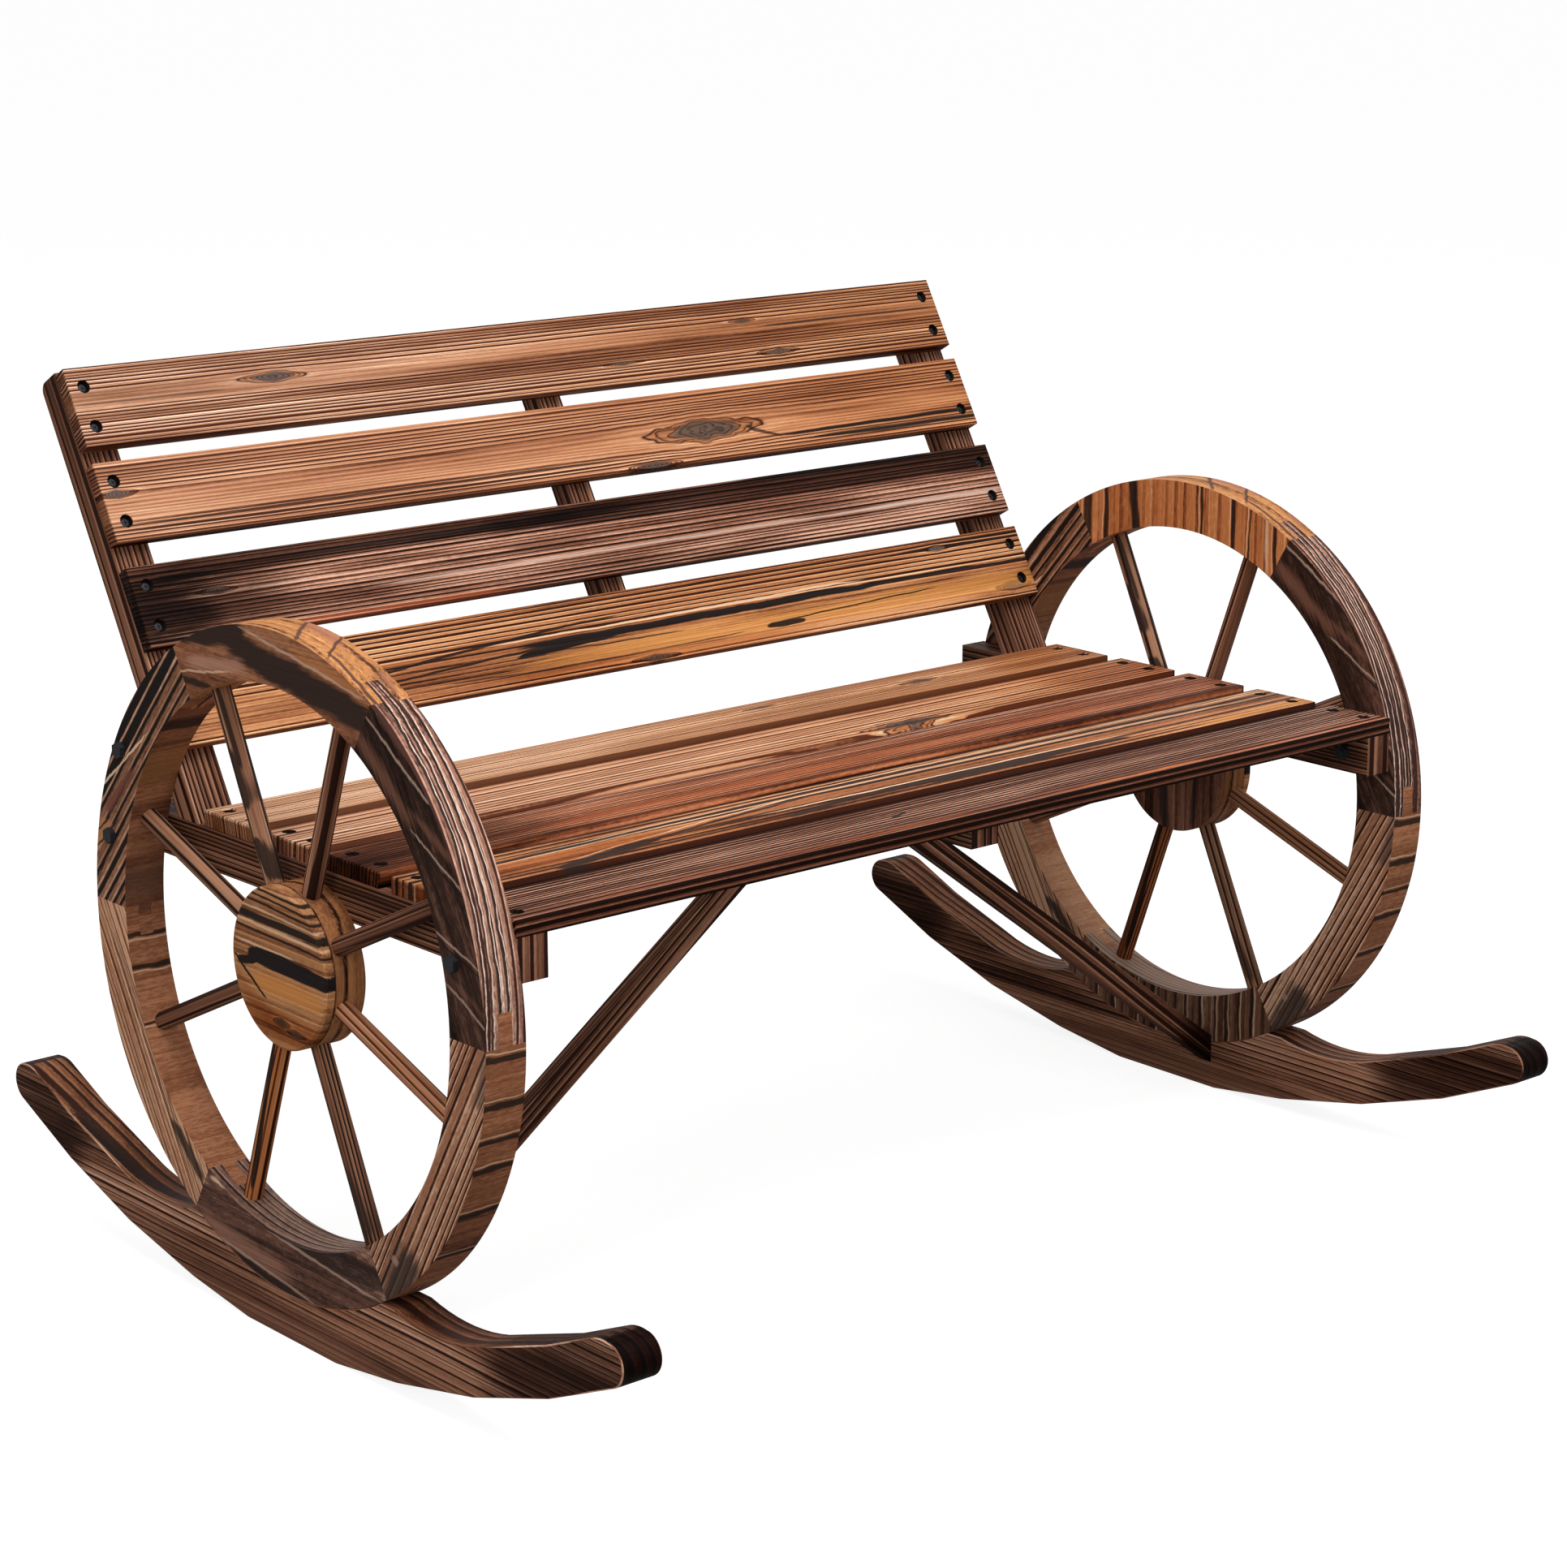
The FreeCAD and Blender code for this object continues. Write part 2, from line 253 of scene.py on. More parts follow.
def lamp(name, place, size, power):
    """A rectangular soft lamp that faces the bench."""
    data = bpy.data.lights.new(name, "AREA")
    data.shape = "RECTANGLE"
    data.size, data.size_y = size
    data.energy = power
    obj = new_object(name, data)
    obj.location = place
    aim = Vector(BENCH_MIDDLE) - Vector(place)
    obj.rotation_euler = aim.to_track_quat("-Z", "Y").to_euler()


lamp("overhead softbox", (-0.4, -0.9, 3.2), (2.6, 2.0), 105.0)
lamp("side softbox", (-3.4, -1.4, 1.7), (1.8, 1.8), 40.0)
lamp("front softbox", (0.8, -3.6, 1.5), (1.8, 1.4), 22.0)

floor_mesh = bpy.data.meshes.new("floor")
corners = [(x * FLOOR_HALF, y * FLOOR_HALF, 0) for x, y in ((-1, -1), (1, -1), (1, 1), (-1, 1))]
floor_mesh.from_pydata(corners, [], [(0, 1, 2, 3)])
floor = new_object("floor", floor_mesh)

floor_material = bpy.data.materials.new("white studio floor")
tree = emptied(floor_material)
paper = wire(tree, "ShaderNodeBsdfDiffuse", {"Color": FLOOR_GREY})
glow = wire(tree, "ShaderNodeEmission", {"Color": WHITE, "Strength": FLOOR_GLOW})
both = wire(tree, "ShaderNodeAddShader", {0: paper, 1: glow})
camera_ray = Wire(add(tree, "ShaderNodeLightPath").outputs["Is Camera Ray"])
pick = wire(tree, "ShaderNodeMixShader", {0: camera_ray, 1: paper, 2: both})
add(tree, "ShaderNodeOutputMaterial", {"Surface": pick})
floor_mesh.materials.append(floor_material)

# %% [markdown]
# Sawn wood shows its growth rings. In a log the rings are long tubes round the pith, so a board is
# a slice through tubes: lines on its faces, arcs on its ends. A solid pattern gives that on every
# face at once. The distance from the pith, bent a little by noise, is divided into rings. In each
# ring the late wood is a thin dark line, and where the flame bit deep it widens to a black band
# that tapers along the board. The wood just past a line is brushed pale, and a painted highlight
# there stands for the light that a ridge catches.


# %% Growth rings as a node group
# Noise scales, in waves a metre along the grain and across it.
DRIFT, TREMBLE, HAIRS, SMOKE = (1.3, 7.0), (9.0, 50.0), (8.0, 560.0), (2.4, 55.0)
TREMBLE_SHARE = (0.07, 0.07, 0.07)
# How unevenly rings are spread, and how far a line and a band may jump from hair to hair.
RING_SPREAD, LINE_JITTER, BAND_JITTER = 3.0, 0.16, 0.12
# The share of a ring that a late line takes, its chance part, and what a band adds.
LINE_SHARE, LINE_CHANCE, BAND_SHARE = 0.24, 0.18, 0.5
BAND_LEVEL, BAND_SOFTNESS = 0.82, 0.13
RIDGE_START, RIDGE_END, FINE_LINES = (0.0, 0.06), (0.10, 0.34), 3.0


def ring_group(kind):
    """The ring pattern, for a material or for geometry nodes."""
    tree, given, put = new_group(
        "fir rings" if kind == "ShaderNodeTree" else "fir rings relief", kind,
        "Vector, Seed, Pith, Slant, Ring Width, Wander, Knot Shift, Band Amount, Band Slope, "
        "Line Width", "Line, Fine Line, Ridge, Band, Fibre, Tone, Smoke, Bent")
    vector, seed = given["Vector"], given["Seed"]
    drift = sway(stretched(vector, DRIFT), seed)
    tremble = sway(stretched(vector, TREMBLE), seed, 1.0)
    bent = times(tremble * TREMBLE_SHARE + drift, given["Wander"])
    place, pith, slant, moved = map(split, (vector, given["Pith"], given["Slant"], bent))
    across = place[1] + moved[1] + given["Knot Shift"] - slant[1] * place[0]
    plug(join(place[0], across, place[2]), put["Bent"])
    from_pith = across - pith[1]
    deep = place[2] - pith[2] + moved[2] - slant[2] * place[0]
    ring = maths("SQRT", from_pith * from_pith + deep * deep) / given["Ring Width"]

    def by_ring(per_ring, along, offset, detail):
        """Noise that follows the rings and changes slowly along the board."""
        return noise(join(ring * per_ring, place[0] * along, offset), seed, detail)

    ring = by_ring(0.31, 0.0, 3.7, 1.0) * RING_SPREAD + ring
    part = maths("FRACT", ring)
    year = add(ring, "ShaderNodeTexWhiteNoise", {"W": maths("FLOOR", ring) + seed},
               noise_dimensions="1D")
    chance = split(Wire(year.outputs["Color"]))
    hairs = noise(stretched(vector, HAIRS), seed, 3.0, 0.65)
    plug(hairs, put["Fibre"])
    jitter = hairs - 0.5

    level = across * given["Band Slope"] + by_ring(0.37, 1.9, 11.0, 1.0)
    band_edge = BAND_LEVEL - given["Band Amount"] * 0.5
    wide = smooth(jitter * BAND_JITTER + level, band_edge, band_edge + BAND_SOFTNESS)
    share = wide * BAND_SHARE + (chance[0] * LINE_CHANCE + LINE_SHARE) * given["Line Width"]
    start = jitter * LINE_JITTER + (1.0 - share)
    late = smooth(part, start - 0.07, start + 0.03) * fading(part, 0.96, 1.0)
    weight = smooth(chance[1], 0.0, 1.0, 0.5, 1.0)
    plug(late * maths("MAXIMUM", weight, wide), put["Line"])
    plug(late * wide, put["Band"])
    plug(smooth(part, *RIDGE_START) * fading(part, *RIDGE_END) * weight, put["Ridge"])
    inner = maths("FRACT", ring * FINE_LINES)
    inner = smooth(inner, 0.45, 0.85) * fading(inner, 0.9, 1.0)
    plug(inner * chance[2], put["Fine Line"])
    plug(by_ring(0.17, 1.8, 31.0, 2.0), put["Tone"])
    plug(noise(stretched(vector, SMOKE), seed + 4.0, 3.0, 0.6), put["Smoke"])
    return tree


rings = ring_group("ShaderNodeTree")
print("ring group nodes", len(rings.nodes))

# %% [markdown]
# Where a branch left the trunk there is a knot. The rings run round it as water runs round a
# stone. The knot itself is an eye, pointed at both ends, with rings of its own. The group spreads
# the ring lines apart and gives the depth inside the eye: 1 at its middle, 0 on its outline and
# less than 0 outside. Of several knots on a board the deepest counts.


# %% Knots as a node group
NO_KNOT = -3.0
KNOT_ROUGH, KNOT_WOBBLE = (40.0, 140.0), (0.5, 0.6, 0.0)
KNOT_REACH, KNOT_PUSH = -0.9, -0.9


def knot_group(kind):
    tree, given, put = new_group(
        "fir knot" if kind == "ShaderNodeTree" else "fir knot relief", kind,
        "Vector, Place, Size, Shift Before, Eye Before", "Shift, Eye")
    wobble = sway(stretched(given["Vector"], KNOT_ROUGH), 1.0, 1.0)
    apart = given["Vector"] - given["Place"]
    away = split(wobble * KNOT_WOBBLE + apart / given["Size"])
    length = maths("ABSOLUTE", away[0]) + away[1] * away[1]
    near = maths("EXPONENT", length * KNOT_REACH)
    plug(split(apart)[1] * near * KNOT_PUSH + given["Shift Before"], put["Shift"])
    plug(maths("MAXIMUM", 1.0 - length, given["Eye Before"]), put["Eye"])
    return tree


knots_of_boards = knot_group("ShaderNodeTree")
print("knot group nodes", len(knots_of_boards.nodes))

# %% [markdown]
# Charring: the face of each board is scorched with a flame, then brushed and oiled. The hard late
# wood stays dark, the soft early wood turns tan, orange or red-brown, and some bands go black.
# Brushing lifts pale fibres beside the lines, and a highlight is painted there too. The sides and
# the hidden faces of a board are darker than its face, partly from char and partly as painted
# shade. Just under its face a side is painted lighter, painted light, and one end of a board is
# tinted warmer so that the other end looks paler, a painted sheen. The group mixes those colours
# by the ring masks and gives the height for the bump.

# %% Scorched wood as a node group
BOARD_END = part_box("seat_slat_1")[1].x
GRIT = (130.0, 480.0)
MOST_LINES = 1.3
TONE_STEP = (0.28, 0.72, 0.22, 0.74)
# How much each mask lowers or raises the brightness.
LINE_DIP, FINE_DIP, SMOKE_DIP = -1.15, -0.26, -0.42
# The ridge rise paints a highlight just past each line: partly pale brushed fibre, partly painted
# highlight.
RIDGE_HIGHLIGHT_RISE, HAIR_RISE, HALO_RISE = 0.40, 0.9, 0.14
# The brightness at which one of the four tones gives way to the next.
TO_MIDDLE, TO_LIGHT, TO_PALE = (-0.05, 0.40), (0.36, 0.76), (0.78, 1.2)
SMOKE_STEP = (0.44, 0.66)
KNOT_LINE = (0.016, 0.009, 0.008, 1)
KNOT_DARK = (0.040, 0.026, 0.024, 1)
KNOT_PALE = (0.115, 0.078, 0.066, 1)
KNOT_RINGS, HEART_STEP, OUTLINE_STEP = 5.5, (0.30, 0.52), (0.03, 0.13)
EYE_DARK, EYE_LIGHT = (0.16, 0.12, 0.10), (0.74, 0.68, 0.64)
SHEEN_GRADIENT_TINT, SOOT_TINT, SIDE_CHAR_AND_SHADE_TINT = (0.92, 0.72, 0.48), (0.42, 0.40, 0.42), (0.40, 0.28, 0.22)
# Depths below a board's face, in metres, over which its side darkens, partly char and partly
# painted shade, and its edge is painted lighter, painted light.
SIDE_STEP, PAINTED_LIGHT_STEP = (0.0007, 0.0030), (0.0002, 0.0012)

char_tree, given, put = new_group(
    "scorched fir", "ShaderNodeTree",
    "Line, Fine Line, Ridge, Band, Fibre, Tone, Eye, Bent, Deep, Middle, Light, Pale, Char, "
    "Line Strength, Brightness, Smoke, Smoke Amount, Slopes, Plain Zone, Warmth, Side Depth, "
    "Side Shade, Side Start, Side Lift, Speckle", "Color, Roughness, Height")
line, ridge, eye, depth = (given[key] for key in ("Line", "Ridge", "Eye", "Side Depth"))
bent, slopes, zone = (split(given[key]) for key in ("Bent", "Slopes", "Plain Zone"))
hair = given["Fibre"] - 0.5
line_power = bent[1] * slopes[1] + given["Line Strength"]
line_power = wire(line_power, "ShaderNodeClamp", {0: line_power, 1: 0.0, 2: MOST_LINES})
from_zone = maths("ABSOLUTE", bent[1] - zone[0]) / zone[1]
line_power = line_power * smooth(from_zone, 0.7, 1.1, 0.22, 1.0)

tone = bent[1] * slopes[0] + given["Tone"]
bright = smooth(tone, *TONE_STEP) + given["Brightness"]
bright = line * line_power * LINE_DIP + bright
bright = given["Fine Line"] * line_power * FINE_DIP + bright
bright = ridge * line_power * RIDGE_HIGHLIGHT_RISE + bright
bright = hair * HAIR_RISE + bright
grit = noise(stretched(given["Bent"], GRIT), 8.0, 3.0, 0.65) - 0.5
bright = grit * given["Speckle"] + bright
bright = smooth(eye, -0.9, -0.2) * fading(eye, -0.15, 0.0) * HALO_RISE + bright
smoky = smooth(given["Smoke"], *SMOKE_STEP) * given["Smoke Amount"]
bright = smoky * SMOKE_DIP + bright
ground = blend(smooth(bright, *TO_MIDDLE), given["Deep"], given["Middle"])
ground = blend(smooth(bright, *TO_LIGHT), ground, given["Light"])
ground = blend(smooth(bright, *TO_PALE), ground, given["Pale"])
sooted = blend(smoky * 0.6, ground, ground * SOOT_TINT)
scorched = blend(given["Band"] * (hair * 0.5 + 0.95), sooted, given["Char"])

swirl = smooth(maths("FRACT", hair * 0.8 + eye * KNOT_RINGS), 0.05, 0.55)
core = blend(hair * 1.6 + swirl, KNOT_DARK, KNOT_PALE)
eye_wood = blend(swirl, ground * EYE_DARK, ground * EYE_LIGHT)
heart = blend(smooth(eye, *HEART_STEP), eye_wood, core)
heart = blend(fading(eye, *OUTLINE_STEP) * 0.9, heart, KNOT_LINE)
knotted = blend(smooth(eye, -0.06, 0.03), scorched, heart)
# One end of a board is tinted warmer, so that the other end looks paler: a painted sheen.
knotted = blend(smooth(bent[0], -0.5, 0.55) * given["Warmth"], knotted, knotted * SHEEN_GRADIENT_TINT)

# Below the face a side darkens, and near the ends from the face on: partly char, partly painted
# shade in the gaps between boards, at their ends and in the bores.
inward = fading(maths("ABSOLUTE", bent[0]), BOARD_END - 0.003, BOARD_END - 0.0015)
below = depth - given["Side Start"] * inward
behind = smooth(below, *SIDE_STEP) * given["Side Shade"]
# Just under the face a side's colour is raised: painted light on a strip the lamps barely reach.
lift = smooth(depth, *PAINTED_LIGHT_STEP) * inward * given["Side Lift"] + 1.0
lifted = maths("MINIMUM", times(knotted, lift), (0.9, 0.9, 0.9))
plug(blend(behind, lifted, knotted * SIDE_CHAR_AND_SHADE_TINT), put["Color"])
plug(given["Fibre"] * 0.2 + 0.40, put["Roughness"])
plug(ridge * 0.5 + (line * 0.35 + hair * 0.9), put["Height"])
print("scorched group nodes", len(char_tree.nodes))

# %% [markdown]
# Some marks belong to one board only: a black flame, a silvery scrape, a reddish end. Each is a
# long ellipse, leaning or arched a little, in the bent coordinates of the rings, so it runs with
# the grain. A stain darkens what is under it, and any other mark covers it.

# %% Marks as a node group
WAVES, ROUGH, ROUGH_SHARE, FRAY = (22.0, 34.0), (11.0, 120.0), (0.4, 0.7, 0.0), 2.4
OUTLINE = 1.05
mark_group, given, put = new_group(
    "fir streak", "ShaderNodeTree",
    "Bent, Color Before, Place, Size, Lean, Arch, Color, Strength, Softness, Stain, Fibre, Wobble",
    "Color")
before, tint, bent, softness = (given[k] for k in ("Color Before", "Color", "Bent", "Softness"))
waves = times(sway(stretched(bent, WAVES), 2.0, 3.0, 0.6), given["Wobble"])
away = split(waves + (bent - given["Place"]))
bow = away[0] * given["Arch"] + given["Lean"]
spot = join(away[0], away[1] - away[0] * bow) / given["Size"]
spot = split(sway(stretched(bent, ROUGH), 5.0) * ROUGH_SHARE + spot)
reach = maths("LENGTH", join(spot[0] * spot[0] * spot[0], spot[1]))
reach = (0.5 - given["Fibre"]) * FRAY * softness + reach
mask = fading(reach, OUTLINE - softness, OUTLINE) * given["Strength"]
target = blend(given["Stain"], tint, before * tint)
plug(blend(mask, before, target), put["Color"])
print("mark group nodes", len(mark_group.nodes))

# %% [markdown]
# Each board lies its own way, so each has its own frame: the first axis runs along the grain, the
# second across the face and the third out of it. A Mapping node turns Object coordinates into
# that frame. Then the same three groups make any board, with its own numbers and colours.

# %% Board frames
LEAN = math.radians(29.5)
UP_BACK = Vector((0, math.sin(LEAN), math.cos(LEAN)))
BACK_NORMAL = Vector((0, -math.cos(LEAN), math.sin(LEAN)))
SLAT_THICKNESS = 0.015
X, Y, Z = Vector((1, 0, 0)), Vector((0, 1, 0)), Vector((0, 0, 1))
AXLE = Vector((0, 0, 0.3322))


def grain_frame(along, across):
    """Euler angles of the frame whose first axis is along and whose second is near across."""
    first = Vector(along).normalized()
    third = first.cross(Vector(across)).normalized()
    second = third.cross(first)
    return Matrix((first, second, third)).transposed().to_euler()


def middle_of(name):
    low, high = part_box(name)
    return (low + high) / 2


print("back leans", round(math.degrees(LEAN), 1), "degrees")

# %% [markdown]
# The boards differ most in how far the flame went. Some are still tan under their dark lines, some
# red-brown, some black. So a finish is a set of four tones, and boards that were burnt alike share
# one.

# %% Tones of the finishes
# The four tones of a finish: the deep lines, the middle, the light wood and the palest ridges.
TAN = ((0.055, 0.015, 0.008), (0.28, 0.12, 0.062), (0.5, 0.26, 0.155), (0.88, 0.62, 0.46))
PLAIN_TAN = ((0.075, 0.024, 0.013), (0.35, 0.145, 0.074), (0.53, 0.27, 0.152), (0.86, 0.58, 0.41))
OLIVE = ((0.08, 0.028, 0.013), (0.34, 0.152, 0.075), (0.54, 0.29, 0.16), (0.86, 0.59, 0.43))
ORANGE = ((0.03, 0.009, 0.005), (0.33, 0.118, 0.046), (0.61, 0.29, 0.13), (0.86, 0.55, 0.32))
RED_BROWN = ((0.026, 0.006, 0.004), (0.23, 0.066, 0.026), (0.41, 0.152, 0.074), (0.62, 0.35, 0.23))
BROWN = ((0.014, 0.005, 0.003), (0.12, 0.042, 0.024), (0.28, 0.12, 0.072), (0.62, 0.36, 0.25))
CHARCOAL = ((0.008, 0.004, 0.003), (0.034, 0.016, 0.011), (0.12, 0.055, 0.038), (0.4, 0.23, 0.16))
HUB_GOLD = ((0.02, 0.008, 0.005), (0.22, 0.085, 0.036), (0.4, 0.18, 0.075), (0.66, 0.38, 0.2))
HUB_ORANGE = ((0.02, 0.008, 0.005), (0.2, 0.075, 0.03), (0.36, 0.15, 0.058), (0.6, 0.33, 0.17))
MID_BROWN = ((0.022, 0.008, 0.005), (0.155, 0.062, 0.034), (0.31, 0.145, 0.085), (0.6, 0.38, 0.27))
BRONZE = ((0.035, 0.013, 0.008), (0.18, 0.066, 0.032), (0.33, 0.14, 0.07), (0.54, 0.29, 0.17))
COPPER = ((0.03, 0.008, 0.004), (0.28, 0.082, 0.028), (0.44, 0.155, 0.052), (0.64, 0.33, 0.15))
STRIPE = ((0.016, 0.01, 0.008), (0.2, 0.085, 0.046), (0.36, 0.18, 0.105), (0.6, 0.4, 0.28))
CLAY = ((0.055, 0.018, 0.009), (0.22, 0.082, 0.038), (0.38, 0.165, 0.085), (0.6, 0.34, 0.21))
PINK_TAN = ((0.045, 0.018, 0.013), (0.26, 0.122, 0.084), (0.46, 0.26, 0.185), (0.82, 0.6, 0.48))
SAND = ((0.06, 0.02, 0.012), (0.43, 0.18, 0.065), (0.62, 0.32, 0.13), (0.82, 0.54, 0.28))
ASH = ((0.03, 0.016, 0.012), (0.13, 0.07, 0.052), (0.25, 0.14, 0.105), (0.44, 0.29, 0.22))
UMBER = ((0.012, 0.006, 0.004), (0.065, 0.028, 0.016), (0.14, 0.062, 0.036), (0.28, 0.16, 0.11))
CHAR = (0.012, 0.009, 0.008)

# %% [markdown]
# One function makes the material of any board. Knots come first, because they bend the rings. Then
# come the rings, the colours and the board's own marks, and last the bump and the shader. A board
# with many marks only has a longer chain of the same group.

# %% A material for any board
# Specular level of oiled, brushed wood, and the strength and depth in metres of the grain's bump.
SHEEN, BUMP_STRENGTH, BUMP_DEPTH = 0.03, 0.6, 0.0010


def in_metres(*lengths):
    return tuple(length / 1000 for length in lengths)


def ring_nodes(tree, group_node, knot_tree, ring_tree, vector, look, line_width=1.0):
    """Put the knots and the rings of a board into a tree. Gives the ring node and the eye depth."""
    shift, eye = 0.0, NO_KNOT
    for u, v, long, wide in look.get("knots", ()):
        knot = add(tree, group_node, node_tree=knot_tree)
        plug_all(knot, {"Vector": vector, "Place": (*in_metres(u, v), 0.0),
                        "Size": (*in_metres(long, wide), 1.0), "Shift Before": shift,
                        "Eye Before": eye})
        shift, eye = wires(knot)
    slant, slopes = look.get("slant", (0.0, 0.0)), look.get("slopes", (0.0, 0.0, 0.0))
    pattern = add(tree, group_node, node_tree=ring_tree)
    plug_all(pattern, {"Vector": vector, "Seed": look["seed"], "Slant": (0, *slant),
                       "Pith": (0, *in_metres(*look["pith"])), "Ring Width": look["ring"] / 1000,
                       "Wander": look["wander"] / 1000, "Knot Shift": shift,
                       "Band Amount": look.get("band", 0.0), "Band Slope": slopes[2],
                       "Line Width": line_width})
    return pattern, eye


def fir_material(name, origin, frame_angles, **look):
    """A board's material. Lengths are in millimetres, along and across the grain."""
    look = {"pith": (0, -40), "wander": 12, "lines": 0.8, "bright": 0.0, "smoke": 0.4, "warm": 0.0,
            "plain": (0, 0), "slopes": (0.0, 0.0, 0.0), "side_shade": 0.0, "side_start": 0.0,
            "side_lift": 0.0, "streaks": (), "stains": (), "wobble": 0.0, "speckle": 0.0, **look}
    material = bpy.data.materials.new(name)
    tree = emptied(material)
    where = Wire(add(tree, "ShaderNodeTexCoord").outputs["Object"])
    vector = wire(tree, "ShaderNodeMapping", {"Vector": where, "Location": origin,
                                              "Rotation": frame_angles}, vector_type="TEXTURE")
    pattern, eye = ring_nodes(tree, "ShaderNodeGroup", knots_of_boards, rings, vector, look,
                              look.get("line_width", 1.0))
    ring = {socket.name: Wire(socket) for socket in pattern.outputs}
    deep, middle, light, pale = ((*tone, 1.0) for tone in look["tones"])
    colours = add(tree, "ShaderNodeGroup", node_tree=char_tree)
    plug_all(colours, {**ring, "Eye": eye, "Deep": deep, "Middle": middle, "Light": light,
                       "Pale": pale, "Char": (*CHAR, 1.0), "Line Strength": look["lines"],
                       "Brightness": look["bright"], "Smoke Amount": look["smoke"],
                       "Slopes": (*look["slopes"][:2], 0.0), "Side Depth": split(vector)[2] * -1,
                       "Plain Zone": (look["plain"][0] / 1000, look["plain"][1] / 1000 + 1e-5, 0),
                       "Warmth": look["warm"], "Side Shade": look["side_shade"],
                       "Side Start": look["side_start"] / 1000, "Side Lift": look["side_lift"],
                       "Speckle": look["speckle"]})
    colour, roughness, height = wires(colours)
    for stain, key in ((0.0, "streaks"), (1.0, "stains")):
        for tint, power, softness, *places in look[key]:
            for u, v, long, wide, *bow in places:
                lean, arch = (*bow, 0.0, 0.0)[:2]
                mark = add(tree, "ShaderNodeGroup", node_tree=mark_group)
                plug_all(mark, {"Bent": ring["Bent"], "Color Before": colour,
                                "Place": (*in_metres(u, v), 0.0), "Lean": lean, "Arch": arch,
                                "Size": (*in_metres(long, wide), 1.0), "Color": (*tint, 1.0),
                                "Strength": power, "Softness": softness, "Stain": stain,
                                "Fibre": ring["Fibre"], "Wobble": look["wobble"] / 1000})
                colour = wires(mark)[0]
    bump = wire(tree, "ShaderNodeBump", {"Strength": BUMP_STRENGTH, "Distance": BUMP_DEPTH,
                                         "Height": height})
    shader = add(tree, "ShaderNodeBsdfPrincipled",
                 {"Base Color": colour, "Roughness": roughness, "Normal": bump})
    shader.inputs["Specular IOR Level"].default_value = SHEEN
    add(tree, "ShaderNodeOutputMaterial", {"Surface": wires(shader)[0]})
    return material


# %% [markdown]
# The lists below say, board by board, how the wood looks: its tones, how wide its rings are, where
# the pith lies, how much of it is burnt black or brushed pale, and where its knots are. A knot is
# its middle along and across the board and its two half sizes. Streaks and stains are groups of
# marks: a colour, its strength and softness, then for each mark its middle, its two half sizes and,
# where it isn't straight, its lean and arch.

# %% Materials of the back slats
materials, end_materials, rim_materials, slat_frames = {}, {}, {}, {}
SILVER = (0.60, 0.43, 0.35)
SOOT = (0.014, 0.010, 0.009)
EMBER = (0.42, 0.10, 0.035)
GOLD = (0.62, 0.27, 0.06)
# The pale ridge colour, and the pale fibre and pale edge colours below, go beside dark lines:
# partly pale brushed wood, partly painted highlight.
RIDGE_HIGHLIGHT = (0.80, 0.53, 0.34)
RED_STAIN = (0.66, 0.46, 0.31)
DARK_STAIN = (0.30, 0.22, 0.20)
BLACK_STAIN = (0.09, 0.06, 0.055)
TIP_STAIN = (0.16, 0.09, 0.08)
BRICK = (0.165, 0.072, 0.045)
CHAR_FACE = (0.032, 0.018, 0.014)
UMBER_LINE = (0.075, 0.033, 0.024)
PALE_FIBRE_HIGHLIGHT = (0.84, 0.64, 0.53)
PALE_EDGE_HIGHLIGHT = (0.34, 0.22, 0.165)
